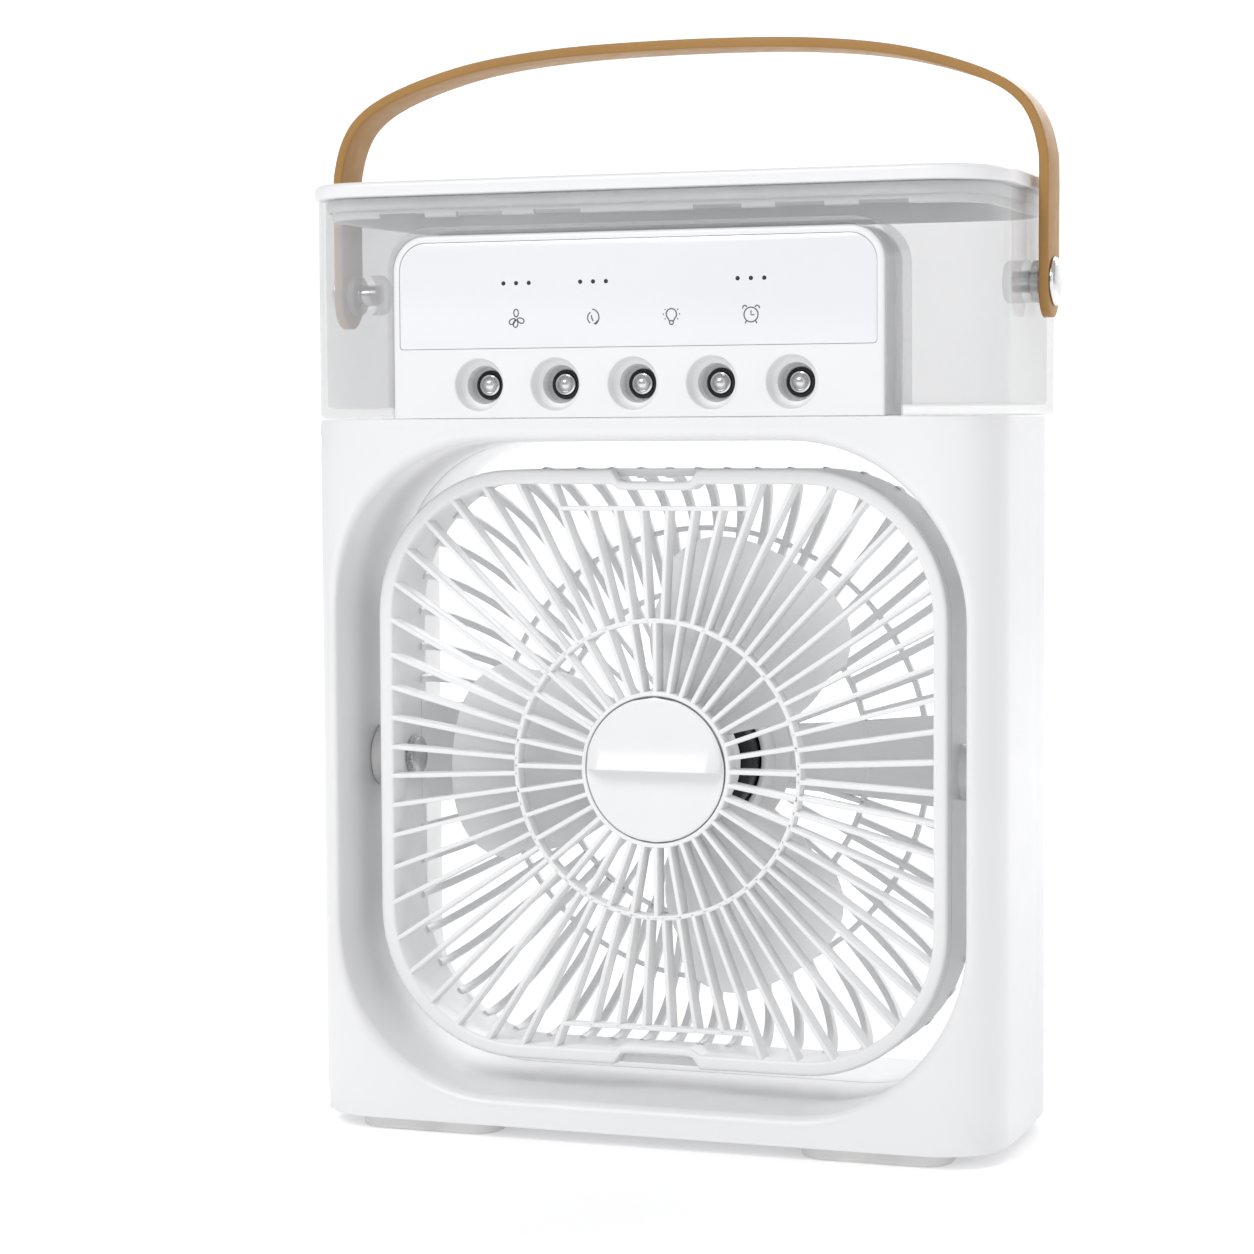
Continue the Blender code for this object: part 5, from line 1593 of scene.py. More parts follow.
@dataclass
class Impeller:
    """Three broad grey blades on a hub, the motor's shaft and the spinner nut."""

    places: Places
    blades: int = 3
    phase: float = math.radians(60)
    half_angle: float = math.radians(38)
    thickness: float = 0.0017
    hub: float = 0.017

    def blade(self, index: int) -> bpy.types.Object:
        """One blade: a broad petal, rounded at its tip, swept from hub to rim and thicker at its root.

        Args:
            index: Which blade.

        Returns:
            The blade.
        """
        low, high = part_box("impeller")
        tip_radius = max(abs(low.x), high.x)
        front = low.y + 0.001
        back = high.y - 0.0025
        middle = self.phase + index * 2 * math.pi / self.blades
        across, outward = 28, 18
        start = self.hub - 0.0012
        sheets = []
        shape = Shape()
        for face in (0, 1):
            grid = []
            for row in range(outward + 1):
                out = row / outward
                cells = []
                for column in range(across + 1):
                    side = 2 * column / across - 1
                    tip = tip_radius * (1 - 0.16 * abs(side) ** 4)
                    radius = start + (tip - start) * out
                    spread = self.half_angle * (0.78 + 0.22 * math.sin(math.pi * min(out * 1.15, 1.0)))
                    angle = middle + side * spread
                    camber = 0.0016 * (1 - side * side) * (1 - 0.5 * out)
                    thin = 0.35 + 0.65 * (1 - side ** 6) * (1 - out ** 8)
                    thick = self.thickness * (1.15 - 0.45 * out) * thin
                    sweep = (back + front) / 2 - side * (back - front) / 2 * (1 - 0.35 * out) - camber
                    y = sweep + (face - 0.5) * thick
                    cells.append(shape.bm.verts.new((radius * math.cos(angle), y,
                                                     self.places.spin.z + radius * math.sin(angle))))
                grid.append(cells)
            sheets.append(grid)
        front_grid, back_grid = sheets
        for row in range(outward):
            for column in range(across):
                for grid in sheets:
                    shape.bm.faces.new((grid[row][column], grid[row][column + 1],
                                        grid[row + 1][column + 1], grid[row + 1][column]))
        border = [(0, c) for c in range(across)] + [(r, across) for r in range(outward)]
        border += [(outward, c) for c in range(across, 0, -1)] + [(r, 0) for r in range(outward, 0, -1)]
        for here, after in zip(border, border[1:] + border[:1]):
            shape.bm.faces.new((front_grid[here[0]][here[1]], front_grid[after[0]][after[1]],
                                back_grid[after[0]][after[1]], back_grid[here[0]][here[1]]))
        return shape.object(f"blade_{index}", "impeller_grey", 50.0)

    def build(self) -> None:
        """Builds the impeller, shaft and nut."""
        low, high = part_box("impeller")
        length = high.y - low.y
        axis = TO_FRONT
        start = Vector((0, high.y, self.places.spin.z))
        hub = self.hub
        profile = [(0.0017, length), (hub - 0.0035, length)]
        profile += [(hub - 0.0035 + 0.0035 * sine, length - 0.0035 * fall) for sine, fall in quarter(6)][1:]
        profile += [(hub, 0.0004), (hub - 0.0004, 0), (hub - 0.0016, 0), (hub - 0.0016, length - 0.0035),
                    (0.0045, length - 0.0035),
                    (0.0045, 0.004), (0.0017, 0.004)]
        parts = [Shape().turned(profile, axis, start, 64, loop=True).object("hub", "impeller_grey")]
        parts += [self.blade(index) for index in range(self.blades)]
        settle_piece(joined("blades_and_hub", parts), "impeller", "impeller", "impeller")
        shaft_box = Box.of("motor_shaft")
        radius = shaft_box.size.x / 2
        length = shaft_box.size.y
        profile = [(0, 0), (radius - 0.0004, 0), (radius, 0.0005), (radius, length - 0.0005),
                   (radius - 0.0004, length), (0, length)]
        shaft = Shape().turned(profile, TO_BACK, Vector((0, shaft_box.low.y, self.places.spin.z)), 32)
        settle_piece(shaft.object("shaft", "shaft_steel"), "impeller", "motor_shaft", "motor_shaft")
        low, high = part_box("spinner_nut")
        radius = (high.x - low.x) / 2
        rings = []
        for y, grow in ((high.y, 0.0), (low.y + 0.0007, 0.0), (low.y, -0.0006)):
            ring = []
            for step in range(48):
                angle = 2 * math.pi * step / 48
                lobe = 1 - 0.07 * (0.5 + 0.5 * math.cos(12 * angle))
                ring.append(Vector(((radius + grow) * lobe * math.cos(angle), y,
                                    self.places.spin.z + (radius + grow) * lobe * math.sin(angle))))
            rings.append(ring)
        nut = Shape().loft(rings).object("nut", "nylon_black")
        settle_piece(nut, "impeller", "spinner_nut", "spinner_nut")


# ---------------------------------------------------------------- control panel


def seal_holes(stem: str, depth: float, length: float) -> list[bpy.types.Object]:
    """Makes the cutters that let the nozzle seals through.

    Args:
        stem: Start of their names.
        depth: Where they begin.
        length: Their length.

    Returns:
        The cutters.
    """
    starts = [Box.of(name).at_depth(depth) for name in numbered("nozzle_seal", NOZZLES)]
    return [peg(f"{stem}_{index}", SEAL_HOLE, length, TO_BACK, start) for index, start in enumerate(starts)]


@dataclass
class ControlPanel:
    """The white panel, its face plate with signs and light windows, and the boards behind it."""

    places: Places
    strokes: BarTree
    copier: CopyTree
    corner: float = 0.010
    soft: float = 0.0013
    mouth: float = 0.0078
    ledge: float = 0.0066
    seat: float = 0.0048
    recess: float = 0.0095
    sign_rise: float = 0.0184
    light_rise: float = 0.0098
    light_gap: float = 0.0038

    def nozzle_places(self) -> list[Vector]:
        """The nozzles' axes on the panel's front face."""
        face = self.places.panel[0].y
        return [Box.of(name).at_depth(face) for name in numbered("mist_nozzle", NOZZLES)]

    def face_ring(self, inset: float, y: float, low: Vector, high: Vector, corner: float) -> Ring:
        """The panel's upright outline, round at its top corners.

        Args:
            inset: How far inside.
            y: The depth.
            low: The lowest corner.
            high: The highest corner.
            corner: The top corners' radius.

        Returns:
            The ring.
        """
        half = (high.x - low.x) / 2 - inset
        tall = (high.z - low.z - inset) / 2
        small = 0.0002
        return upright(outline(half, tall, [corner - inset, corner - inset, small, small], 14, 1,
                               ((low.x + high.x) / 2, low.z + tall)), y)

    def recess_cutter(self) -> bpy.types.Object:
        """The stepped hollow round a nozzle, at the origin, opening towards -Y."""
        mouth, ledge, seat, deep = self.mouth, self.ledge, self.seat, self.recess
        lip = 0.0006
        profile = [(0, deep), (seat, deep), (seat + 0.0003, deep - 0.0003), (ledge - 0.0012, 0.0046),
                   (ledge - 0.0003, 0.0043), (ledge + 0.0002, 0.0039), (ledge + 0.0004, 0.0034),
                   (mouth - lip * 0.9, lip)]
        profile += [(mouth - lip * (1 - fall) * 0.9, lip * (1 - sine)) for sine, fall in quarter(3)][1:]
        profile += [(mouth, -0.004), (0, -0.004)]
        return Shape().turned(profile, TO_BACK, ORIGIN, 56).object("recess_body", "panel_white")

    def body(self) -> None:
        """Builds the panel with its recesses and plate seat."""
        low, high = self.places.panel
        rings = []
        for sine, fall in reversed(quarter(6)):
            rings.append(self.face_ring(self.soft * fall, low.y + self.soft * (1 - sine), low, high,
                                        self.corner))
        rings.append(self.face_ring(0.0, high.y, low, high, self.corner))
        panel = Shape().loft(rings).object("panel", "panel_white")
        recesses = self.copier.copies("recesses", self.recess_cutter(), self.nozzle_places(), "panel_white")
        plate_low, plate_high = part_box("control_face_plate")
        gap = Vector((0.0001, 0, 0.0001))
        bed = [upright(self.plate_outline(plate_low - gap, plate_high + gap), y)
               for y in (low.y - 0.01, plate_high.y + GAP)]
        hollow_low = low + Vector((0.0022, 0.0118, 0.0022))
        hollow_high = high + Vector((-0.0022, 0.01, -0.0022))
        hollow = [self.face_ring(0.0, y, hollow_low, hollow_high, self.corner - 0.002)
                  for y in (hollow_low.y, hollow_high.y)]
        carved(panel, recesses, Shape().loft(bed).object("bed"), Shape().loft(hollow).object("hollow"))
        settle_piece(panel, "body", "control_panel", "control_panel")

    def plate_outline(self, low: Vector, high: Vector, inset: float = 0.0) -> list[Flat]:
        """The face plate's outline between two corners."""
        half = (high.x - low.x) / 2 - inset
        tall = (high.z - low.z) / 2 - inset
        corner = self.corner - 0.0022 - inset
        return outline(half, tall, [corner, corner, 0.0011, 0.0011], 12, 1,
                       ((low.x + high.x) / 2, (low.z + high.z) / 2))

    def plate(self) -> None:
        """Builds the face plate."""
        low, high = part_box("control_face_plate")
        rings = [upright(self.plate_outline(low, high, 0.00025), low.y),
                 upright(self.plate_outline(low, high, 0.00008), low.y + 0.00008),
                 upright(self.plate_outline(low, high), low.y + 0.00025),
                 upright(self.plate_outline(low, high), high.y)]
        plate = Shape().loft(rings).object("face_plate", "overlay_white")
        settle_piece(plate, "body", "control_face_plate", "control_face_plate")

    def sign_lines(self, sign: Sign) -> list[list[Flat]]:
        """A sign's strokes in millimetres round its own middle.

        Args:
            sign: Which sign.

        Returns:
            The strokes.
        """

        def arc(cx: float, cz: float, radius: float, start: float, stop: float,
                steps: int = 16) -> list[Flat]:
            """Points along an arc, with its ends in degrees."""
            turns = [math.radians(start + (stop - start) * step / steps) for step in range(steps + 1)]
            return [(cx + radius * math.cos(turn), cz + radius * math.sin(turn)) for turn in turns]

        if sign is Sign.FAN:
            strokes = []
            for bearing in (92, 335, 215, 262):
                turn = math.radians(bearing)
                along = (math.cos(turn), math.sin(turn))
                petal = []
                for step in range(21):
                    angle = 2 * math.pi * step / 20
                    out = 1.45 - 1.05 * math.cos(angle)
                    wide = 0.78 * math.sin(angle) * (0.75 + 0.25 * (1 - math.cos(angle)) / 2)
                    petal.append((along[0] * out - along[1] * wide, along[1] * out + along[0] * wide))
                strokes.append(petal)
            return strokes
        if sign is Sign.DROP:
            return [arc(-0.6, -0.1, 2.3, -58, 82, 14), arc(0.1, -0.2, 1.75, 120, 235, 12),
                    [(-0.55, 0.5), (-0.4, -0.4), (0.0, -1.1)], [(0.2, -1.9), (0.9, -1.5), (1.3, -1.0)]]
        if sign is Sign.LAMP:
            strokes = [arc(0, 0.4, 1.5, -50, 230, 22), [(-0.95, -0.75), (-0.6, -1.5)],
                       [(0.95, -0.75), (0.6, -1.5)],
                       arc(0, -1.9, 0.55, 40, 400, 14)]
            for bearing in (0, 38, 142, 180, 218, 322):
                turn = math.radians(bearing)
                strokes.append([(2.15 * math.cos(turn), 0.4 + 1.95 * math.sin(turn)),
                                (2.5 * math.cos(turn), 0.4 + 2.25 * math.sin(turn))])
            return strokes
        return [arc(0, -0.1, 2.0, 0, 360, 30), arc(-1.75, 1.75, 0.62, 20, 200, 9),
                arc(1.75, 1.75, 0.62, -20, 160, 9),
                [(0, 1.0), (0, -0.2), (1.0, -0.2)], [(-1.3, -1.8), (-1.7, -2.5)], [(1.3, -1.8), (1.7, -2.5)]]

    def signs(self) -> None:
        """Builds the printed signs and the light windows over three of them."""
        face = Box.of("control_face_plate").low.y
        spots = self.nozzle_places()
        centres = [(a.x + b.x) / 2 for a, b in zip(spots, spots[1:])]
        z = spots[0].z + self.sign_rise
        lines = []
        for centre, sign in zip(centres, Sign):
            for stroke in self.sign_lines(sign):
                lines.append([Vector((centre + a * MM, z + b * MM, -face)) for a, b in stroke])
        flat = Matrix.Rotation(math.pi / 2, 4, "X")
        strokes = self.strokes.bars("sign_strokes", lines, 0.00036, 0.00008, 0.00002, "sign_ink", flat)
        settle_piece(strokes, "body", "control_face_plate")
        radius = 0.00062
        profile = [(0, -0.00006), (radius * 0.8, -0.00005), (radius, 0.0), (radius, 0.0001), (0, 0.0001)]
        dot = Shape().turned(profile, TO_BACK, ORIGIN, 20).object("light_body", "light_window")
        lit = [centre for centre, sign in zip(centres, Sign) if sign is not Sign.LAMP]
        spots = [Vector((centre + shift * self.light_gap, face, z + self.light_rise))
                 for centre in lit for shift in (-1, 0, 1)]
        windows = self.copier.copies("light_windows", dot, spots, "light_window")
        settle_piece(windows, "body", "control_face_plate")

    def boards(self) -> None:
        """Dresses the hidden boards and the power inlet."""
        looks = {"circuit_board": "board_green", "led_board": "bush_white", "power_inlet": "screw_zinc"}
        for node, look in looks.items():
            obj = frame["nodes"][node]
            obj.data.materials.clear()
            obj.data.materials.append(finish(look))

    def back_cover(self) -> None:
        """Makes the plate that closes the panel's back, with a hole for each nozzle seal."""
        box = Box.of("panel_back_cover")
        corner = 0.0075
        points = outline(box.size.x / 2, box.size.z / 2, [corner, corner, 0.0006, 0.0006], 10, 1,
                         (0.0, box.middle.z))
        rings = [upright(points, y) for y in (box.low.y, box.high.y)]
        cover = Shape().loft(rings).object("back_cover", "shell_white")
        carved(cover, *seal_holes("cover_hole", box.low.y - 0.01, 0.02))
        settle_piece(bevelled(cover, 0.0002), "body", "panel_back_cover", "panel_back_cover")

    def build(self) -> None:
        """Builds the panel's pieces."""
        self.body()
        self.back_cover()
        self.plate()
        self.signs()
        self.boards()


@dataclass
class MistNozzles:
    """Five bright domed discs in black seals, with a wick behind each."""

    copier: CopyTree

    def build(self) -> None:
        """Builds the discs, seals and wicks."""
        names = numbered("nozzle_seal", NOZZLES)
        boxes = [Box.of(name) for name in names]
        outer = boxes[0].size.z / 2
        length = boxes[0].size.y
        collar = 0.0009
        seat = 0.0033
        profile = [(0.0029, length), (0.0035, length), (0.0035, collar), (outer, collar)]
        profile += [(outer - 0.0007 * fall, 0.0007 * (1 - sine)) for sine, fall in quarter(4)]
        profile += [(seat + 0.0002, 0), (seat, 0.0002), (seat, 0.0008), (0.0029, 0.0008)]
        body = Shape().turned(profile, TO_BACK, ORIGIN, 40, loop=True).object("seal_body", "seal_black")
        starts = [box.at_depth(box.low.y) for box in boxes]
        seals = self.copier.copies("seals", body, starts, "seal_black")
        settle_piece(seals, "body", "nozzle_seal", *names)
        names = numbered("mist_nozzle", NOZZLES)
        radius = Box.of(names[0]).size.z / 2
        base = 0.0006
        profile = [(0, base), (radius, base), (radius, 0.0001), (radius - 0.0002, -0.0002),
                   (radius - 0.0006, -0.0003),
                   (radius - 0.0008, -0.00005)]
        dome = radius - 0.0009
        profile += [(dome * math.cos(turn), -0.0015 * math.sin(turn)) for turn in
                    [math.pi / 2 * step / 9 for step in range(10)]]
        body = Shape().turned(profile, TO_BACK, ORIGIN, 48).object("disc_body", "nozzle_steel", 50.0)
        discs = self.copier.copies("mist_discs", body, starts, "nozzle_steel")
        settle_piece(discs, "body", "mist_nozzle", *names)
        names = numbered("wick", NOZZLES)
        boxes = [Box.of(name) for name in names]
        radius = boxes[0].size.z / 2
        length = boxes[0].size.y
        profile = [(0, 0), (radius - 0.0003, 0), (radius, 0.0003), (radius, length - 0.0006),
                   (radius - 0.0006, length), (0, length)]
        body = Shape().turned(profile, TO_BACK, ORIGIN, 24).object("wick_body", "wick_cotton")
        starts = [box.at_depth(box.low.y) for box in boxes]
        settle_piece(self.copier.copies("wicks", body, starts, "wick_cotton"), "body", "wick", *names)


# ---------------------------------------------------------------- tank, lid and handle


@dataclass
class WaterTank:
    """The clear tank that wraps round the control panel."""

    places: Places
    wall: float = 0.002
    floor: float = 0.003
    corner: float = 0.020
    notch_gap: float = 0.0004
    soft: float = 0.0014

    def ring(self, inset: float, z: float) -> Ring:
        """The tank's outline seen from above, inset."""
        _, high = self.places.tank
        return level(outline(high.x - inset, high.y - inset, [self.corner - inset] * 4, 16, 4), z)

    def notch(self, name: str, grow: float) -> bpy.types.Object:
        """The block that the tank leaves free for the panel, grown outwards.

        Args:
            name: The cutter's name.
            grow: How far it is grown.

        Returns:
            The cutter.
        """
        low, high = self.places.panel
        bottom = self.places.tank[0].z - 0.01
        half = high.x + self.notch_gap + grow
        top = high.z + self.notch_gap + grow
        tall = (top - bottom) / 2
        corner = 0.010 + self.notch_gap + grow
        points = outline(half, tall, [corner, corner, 0.0002, 0.0002], 12, 1, (0.0, bottom + tall))
        back = high.y + self.notch_gap + grow
        return Shape().loft([upright(points, low.y - 0.01), upright(points, back)]).object(name)

    def build(self) -> None:
        """Builds the tank."""
        low, high = self.places.tank
        rings = []
        for sine, fall in reversed(quarter(5)):
            rings.append(self.ring(self.soft * fall, low.z + self.soft * (1 - sine)))
        rings += [self.ring(0.0, high.z - 0.0004), self.ring(0.0004, high.z)]
        tank = Shape().loft(rings).object("tank", "tank_clear")
        hollow_rings = []
        for sine, fall in reversed(quarter(5)):
            z = low.z + self.floor + self.soft * (1 - sine)
            hollow_rings.append(self.ring(self.wall + self.soft * fall, z))
        hollow_rings.append(self.ring(self.wall, high.z + 0.01))
        hollow = Shape().loft(hollow_rings).object("tank_hollow")
        carved(hollow, self.notch("notch_wall", self.wall))
        carved(tank, hollow, self.notch("notch", 0.0))
        pads = []
        holes = []
        for hand in Hand:
            end = Box.of(f"handle_rivet_{hand.name.lower()}").near - GAP
            axis = Vector((hand.value, 0, 0))
            start = Vector((hand.value * (end - 0.002), self.places.swing.y, self.places.swing.z))
            length = high.x - 0.0006 - (end - 0.002)
            profile = [(0, 0), (0.0052, 0), (0.006, 0.0008), (0.006, length), (0, length)]
            pads.append(Shape().turned(profile, axis, start, 40).object(f"pad_{hand.name}"))
            start = Vector((hand.value * end, self.places.swing.y, self.places.swing.z))
            holes.append(peg(f"pad_hole_{hand.name}", 0.0032, 0.02, axis, start, 32))
        carved(tank, *pads, how="UNION")
        holes += seal_holes("seal_hole", self.places.panel[1].y - 0.004, 0.008)
        carved(tank, *holes)
        settle_piece(tank, "body", "water_tank", "water_tank")


@dataclass
class TankLid:
    """The flat lid with its slotted skirt, and the gasket round the skirt."""

    places: Places
    copier: CopyTree
    corner: float = 0.021
    soft: float = 0.0015
    skirt_depth: float = 0.006
    skirt_wall: float = 0.0016
    slot_length: float = 0.014
    slot_height: float = 0.0014
    slot_pitch: float = 0.0235

    def ring(self, inset: float, z: float) -> Ring:
        """The lid's outline seen from above, inset."""
        _, high = self.places.lid
        radius = max(self.corner - inset, 0.001)
        return level(outline(high.x - inset, high.y - inset, [radius] * 4, 16, 4), z)

    def build(self) -> None:
        """Builds the lid and the gasket."""
        low, high = self.places.lid
        under = low.z + self.skirt_depth
        rings = [self.ring(0.0005, under), self.ring(0.0001, under + 0.0002), self.ring(0.0, under + 0.0005)]
        for sine, fall in quarter(6):
            rings.append(self.ring(self.soft * fall, high.z - self.soft * (1 - sine)))
        rings += [self.ring(0.0045, high.z), self.ring(0.0050, high.z - 0.0001),
                  self.ring(0.0056, high.z - 0.0005),
                  self.ring(0.0062, high.z - 0.0006)]
        lid = Shape().loft(rings).object("lid_plate", "panel_white")
        inset = 0.001 + 0.0038
        inner = inset + self.skirt_wall
        skirt = Shape().loft([self.ring(inset, under + 0.001), self.ring(inset, low.z + 0.0003),
                              self.ring(inset + 0.0003, low.z),
                              self.ring(inner - 0.0003, low.z), self.ring(inner, low.z + 0.0003),
                              self.ring(inner, under + 0.001)], loop=True).object("skirt", "panel_white")
        slot = Shape().block((-self.slot_length / 2, -0.004, -0.01),
                             (self.slot_length / 2, 0.012, self.slot_height))
        steps = [side * index for side in (-1, 1) for index in (1, 2, 3)]
        spots = [Vector((step * self.slot_pitch, -high.y + 0.001, low.z)) for step in steps]
        carved(skirt, self.copier.copies("skirt_slots", slot.object("slot_body"), spots, "panel_white"))
        settle_piece(joined("lid", [lid, skirt]), "lid", "tank_lid", "tank_lid")
        gasket_low, gasket_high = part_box("lid_gasket")
        out = self.places.lid[1].x - gasket_high.x
        back = out + 0.0012
        tall = gasket_high.z - gasket_low.z
        rings = []
        for step in range(12):
            turn = 2 * math.pi * step / 12
            rings.append(self.ring((out + back) / 2 - (back - out) / 2 * math.cos(turn),
                                   gasket_low.z + tall / 2 + tall / 2 * math.sin(turn)))
        gasket = Shape().loft(rings, loop=True).object("gasket", "gasket_clear")
        settle_piece(gasket, "lid", "lid_gasket", "lid_gasket")


@dataclass
class StrapHandle:
    """The tan strap, its chrome rivets and white washers."""

    places: Places
    thickness: float = 0.0028
    soft: float = 0.0006
    hole: float = 0.0032

    def __post_init__(self) -> None:
        """Works out the two soft corners of the strap's edge, as steps across and inwards."""
        first = quarter(3)
        self.section = first + [(1 - fall, sine) for sine, fall in first]

    def spine(self) -> list[Vector]:
        """The strap's outer line from the right-hand side's rivet to the middle of the arch, smoothed.

        Returns:
            Points in X and Z with the strap's half width as the third value.
        """
        box = Box.of("handle_strap")
        half, top = box.high.x, box.high.z
        drops = [(0.0, 0.0385), (0.0006, 0.0330), (0.0022, 0.0270), (0.0052, 0.0212), (0.0098, 0.0166),
                 (0.0158, 0.0130),
                 (0.0230, 0.0100), (0.0330, 0.0068), (0.0450, 0.0040), (0.0600, 0.0019), (0.0800, 0.0005),
                 (half, 0.0)]
        knots = [Vector((half, self.places.swing.z + 0.012)),
                 *[Vector((half - a, top - b)) for a, b in drops]]
        knots = [knots[0] - (knots[1] - knots[0]), *knots, Vector((-knots[-2].x, knots[-2].y))]
        points = []
        for a, b, c, d in zip(knots, knots[1:], knots[2:], knots[3:]):
            for step in range(4):
                t = step / 4
                points.append(0.5 * (2 * b + (c - a) * t + (2 * a - 5 * b + 4 * c - d) * t * t
                                     + (3 * b - a - 3 * c + d) * t ** 3))
        points.append(knots[-2])
        return points

    def build(self) -> None:
        """Builds the strap, rivets and washers."""
        low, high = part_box("handle_strap")
        width = (high.y - low.y) / 2
        path = []
        for step in range(11):
            turn = math.pi / 2 * (step + 0.25) / 10.25
            path.append((high.x, low.z + width * (1 - math.cos(turn)), width * math.sin(turn)))
        path += [(high.x, low.z + width + 0.004, width)]
        path += [(point.x, point.y, width) for point in self.spine() if point.y > low.z + width + 0.006]
        path += [(-x, z, wide) for x, z, wide in reversed(path[:-1])]
        rings = []
        for index, (x, z, wide) in enumerate(path):
            before = path[max(index - 1, 0)]
            after = path[min(index + 1, len(path) - 1)]
            run = Vector((after[0] - before[0], 0, after[1] - before[1])).normalized()
            inward = Vector((-run.z, 0, run.x))
            soft = min(self.soft, wide * 0.3)
            ring = []
            for sign in (-1, 1):
                for turn, (out, into) in enumerate(self.section):
                    far_corner = turn >= len(self.section) // 2
                    deep = (self.thickness - soft if far_corner else 0.0) + soft * into
                    if sign < 0:
                        deep = self.thickness - deep
                    across = sign * (wide - soft + soft * out)
                    ring.append(Vector((x, 0, z)) + inward * deep + Vector((0, across, 0)))
            rings.append(ring)
        strap = Shape().loft(rings).object("strap", "strap_tan")
        hole = Shape().turned([(0, -0.2), (self.hole, -0.2), (self.hole, 0.2), (0, 0.2)], Vector((1, 0, 0)),
                              self.places.swing, 32)
        carved(strap, hole.object("strap_hole"))
        settle_piece(strap, "handle", "handle_strap", "handle_strap")
        for hand in Hand:
            name = hand.name.lower()
            axis = Vector((hand.value, 0, 0))
            box = Box.of(f"handle_rivet_{name}")
            radius = box.size.z / 2
            seat = box.far - 0.002
            foot = box.near - seat
            start = Vector((hand.value * seat, self.places.swing.y, self.places.swing.z))
            profile = [(0, 0.0020)]
            profile += [(radius * math.sin(turn) * 0.97, 0.0005 + 0.0015 * math.cos(turn)) for turn in
                        [math.pi / 2 * step / 10 for step in range(1, 11)]]
            profile += [(radius, 0.0003), (radius, 0.0), (0.0029, 0.0), (0.0029, foot), (0, foot)]
            rivet = Shape().turned(profile, axis, start, 48).object(f"rivet_{name}", "rivet_chrome", 40.0)
            settle_piece(rivet, "handle", "handle_rivet", f"handle_rivet_{name}")
            box = Box.of(f"handle_washer_{name}")
            thick = box.size.x
            radius = box.size.z / 2
            profile = [(self.hole, 0), (radius - 0.0004, 0), (radius, 0.0004), (radius, thick - 0.0004),
                       (radius - 0.0004, thick),
                       (self.hole, thick)]
            start = Vector((hand.value * box.near, self.places.swing.y, self.places.swing.z))
            ring = Shape().turned(profile, axis, start, 40, loop=True)
            washer = ring.object(f"washer_{name}", "washer_clear")
            settle_piece(washer, "handle", "handle_washer", f"handle_washer_{name}")


@dataclass
class ShellScrews:
    """The four screws that hold the shells together."""

    copier: CopyTree

    def build(self) -> None:
        """Builds the screws."""
        names = numbered("shell_screw", 4)
        boxes = [Box.of(name) for name in names]
        head = 0.002
        body = screw_body("shell_screw_body", boxes[0].size.x / 2, head, 0.0012, boxes[0].size.y - head)
        seats = [box.at_depth(box.high.y - head) for box in boxes]
        screws = self.copier.copies("shell_screws", body, seats, "screw_zinc")
        settle_piece(screws, "body", "shell_screw", *names)


# ---------------------------------------------------------------- studio


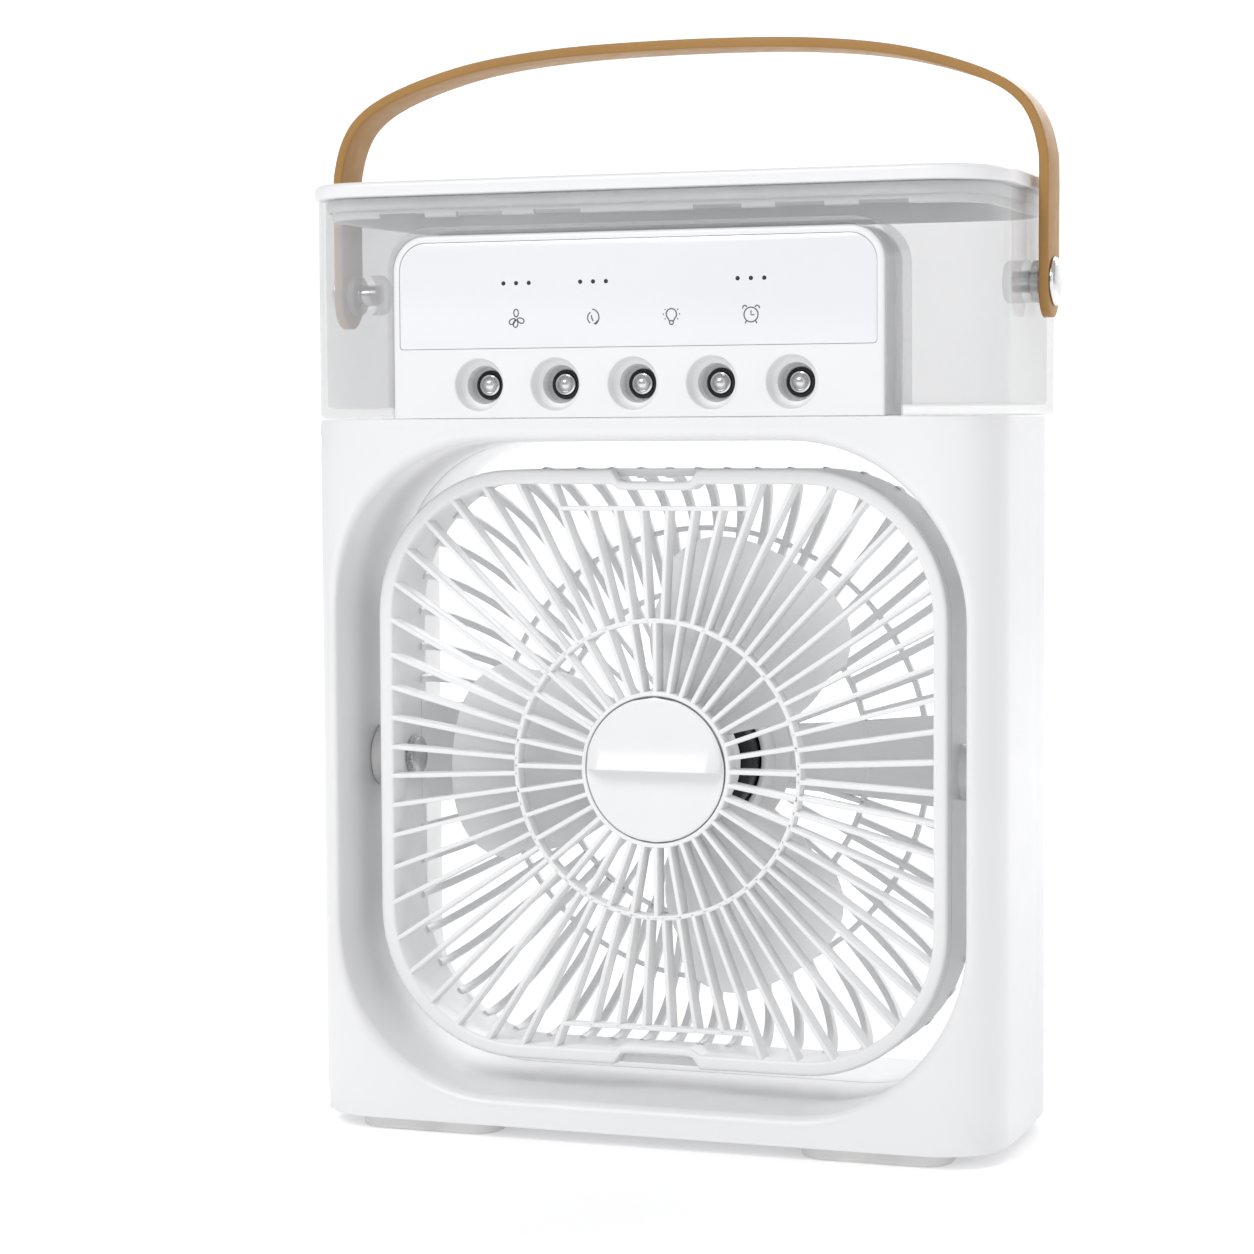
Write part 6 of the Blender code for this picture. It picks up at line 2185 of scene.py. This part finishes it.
@dataclass
class Studio:
    """The camera, the pale sweep and the soft lights."""

    yaw: float = 19.74
    pitch: float = 3.44
    roll: float = -0.308
    distance: float = 0.9437
    lens: float = 92.55
    target: tuple[float, float, float] = (-0.0185, 0.0, 0.1439)

    def camera(self) -> None:
        """Makes the scene's camera."""
        yaw, pitch, roll = (math.radians(value) for value in (self.yaw, self.pitch, self.roll))
        ahead = Vector((-math.sin(yaw) * math.cos(pitch), math.cos(yaw) * math.cos(pitch), -math.sin(pitch)))
        right = Vector((math.cos(yaw), math.sin(yaw), 0))
        up = right.cross(ahead)
        turned_right = right * math.cos(roll) + up * math.sin(roll)
        turned_up = up * math.cos(roll) - right * math.sin(roll)
        data = bpy.data.cameras.new("camera")
        data.lens = self.lens
        data.sensor_width = 36.0
        data.clip_start = 0.01
        data.clip_end = 50.0
        obj = linked("camera", data)
        place = Matrix((turned_right, turned_up, -ahead)).transposed().to_4x4()
        place.translation = Vector(self.target) - ahead * self.distance
        obj.matrix_world = place
        bpy.context.scene.camera = obj

    def light(self, name: str, place: Sequence[float], size: Flat, power: float,
              target: Sequence[float]) -> None:
        """Adds a soft area light.

        Args:
            name: Its name.
            place: Where it is.
            size: Its width and height.
            power: Its power in watts.
            target: What it points at.
        """
        data = bpy.data.lights.new(name, "AREA")
        data.shape = "RECTANGLE"
        data.size, data.size_y = size
        data.energy = power
        obj = linked(name, data)
        obj.location = place
        obj.rotation_euler = (Vector(target) - Vector(place)).to_track_quat("-Z", "Y").to_euler()

    def sweep(self) -> None:
        """Makes the pale floor, which curves up into a backdrop."""
        shape = Shape()
        bend = 1.2
        far = 4.0
        profile = [(-16.0, 0.0), (far, 0.0)]
        profile += [(far + bend * sine, bend * fall) for sine, fall in quarter(16)][1:]
        profile.append((far + bend, 6.0))
        rows = []
        for y, z in profile:
            rows.append([shape.bm.verts.new((x, y, z)) for x in (-8.0, 8.0)])
        for low, high in zip(rows, rows[1:]):
            shape.bm.faces.new((low[0], low[1], high[1], high[0]))
        floor = shape.object("sweep")
        paint = Shader("floor_paper")
        paint.tint(paint.noise(3, 2), (0.92, 0.92, 0.92), (0.90, 0.90, 0.90))
        fill(paint.surface, {
            "Roughness": 0.85, "Specular IOR Level": 0.1, "Emission Color": (1, 1, 1, 1),
            "Emission Strength": 0.24,
        })
        floor.data.materials.append(paint.material)

    def build(self) -> None:
        """Builds the studio."""
        self.camera()
        self.sweep()
        scene = bpy.context.scene
        scene.view_settings.view_transform = "Standard"
        world = bpy.data.worlds.new("studio")
        world.use_nodes = True
        backdrop = world.node_tree.nodes["Background"]
        fill(backdrop, {"Color": (1, 1, 1, 1), "Strength": 0.53})
        scene.world = world
        middle = (0.0, 0.0, 0.15)
        self.light("key", (-0.6, -1.55, 1.6), (1.0, 1.0), 18.5, middle)
        self.light("fill", (1.5, -1.3, 0.6), (1.2, 1.6), 3.0, middle)
        self.light("back", (0.3, 1.4, 1.1), (1.6, 0.8), 15.0, middle)
        self.light("backdrop", (0.0, 1.6, 2.6), (5.0, 2.0), 70.0, (0.0, 5.2, 1.0))


def main() -> None:
    """Builds the fan and the studio in order."""
    logging.basicConfig(level=logging.INFO, format="%(name)s: %(message)s", stream=sys.stdout)
    places = Places.read()
    bars = BarTree(radial=True)
    copier = CopyTree()
    Studio().build()
    steps: list[tuple[str, Callable[[], None]]] = [
        ("frame shells", FrameShells(places).build),
        ("feet", Feet(copier).build),
        ("fan head", FanHead(places, bars).build),
        ("pivots", Pivots(places).build),
        ("motor", Motor(places, copier).build),
        ("impeller", Impeller(places).build),
        ("control panel", ControlPanel(places, BarTree(radial=False), copier).build),
        ("mist nozzles", MistNozzles(copier).build),
        ("water tank", WaterTank(places).build),
        ("tank lid", TankLid(places, copier).build),
        ("strap handle", StrapHandle(places).build),
        ("shell screws", ShellScrews(copier).build),
    ]
    for name, build in steps:
        LOG.info("building the %s", name)
        build()


if __name__ == "__main__":
    main()
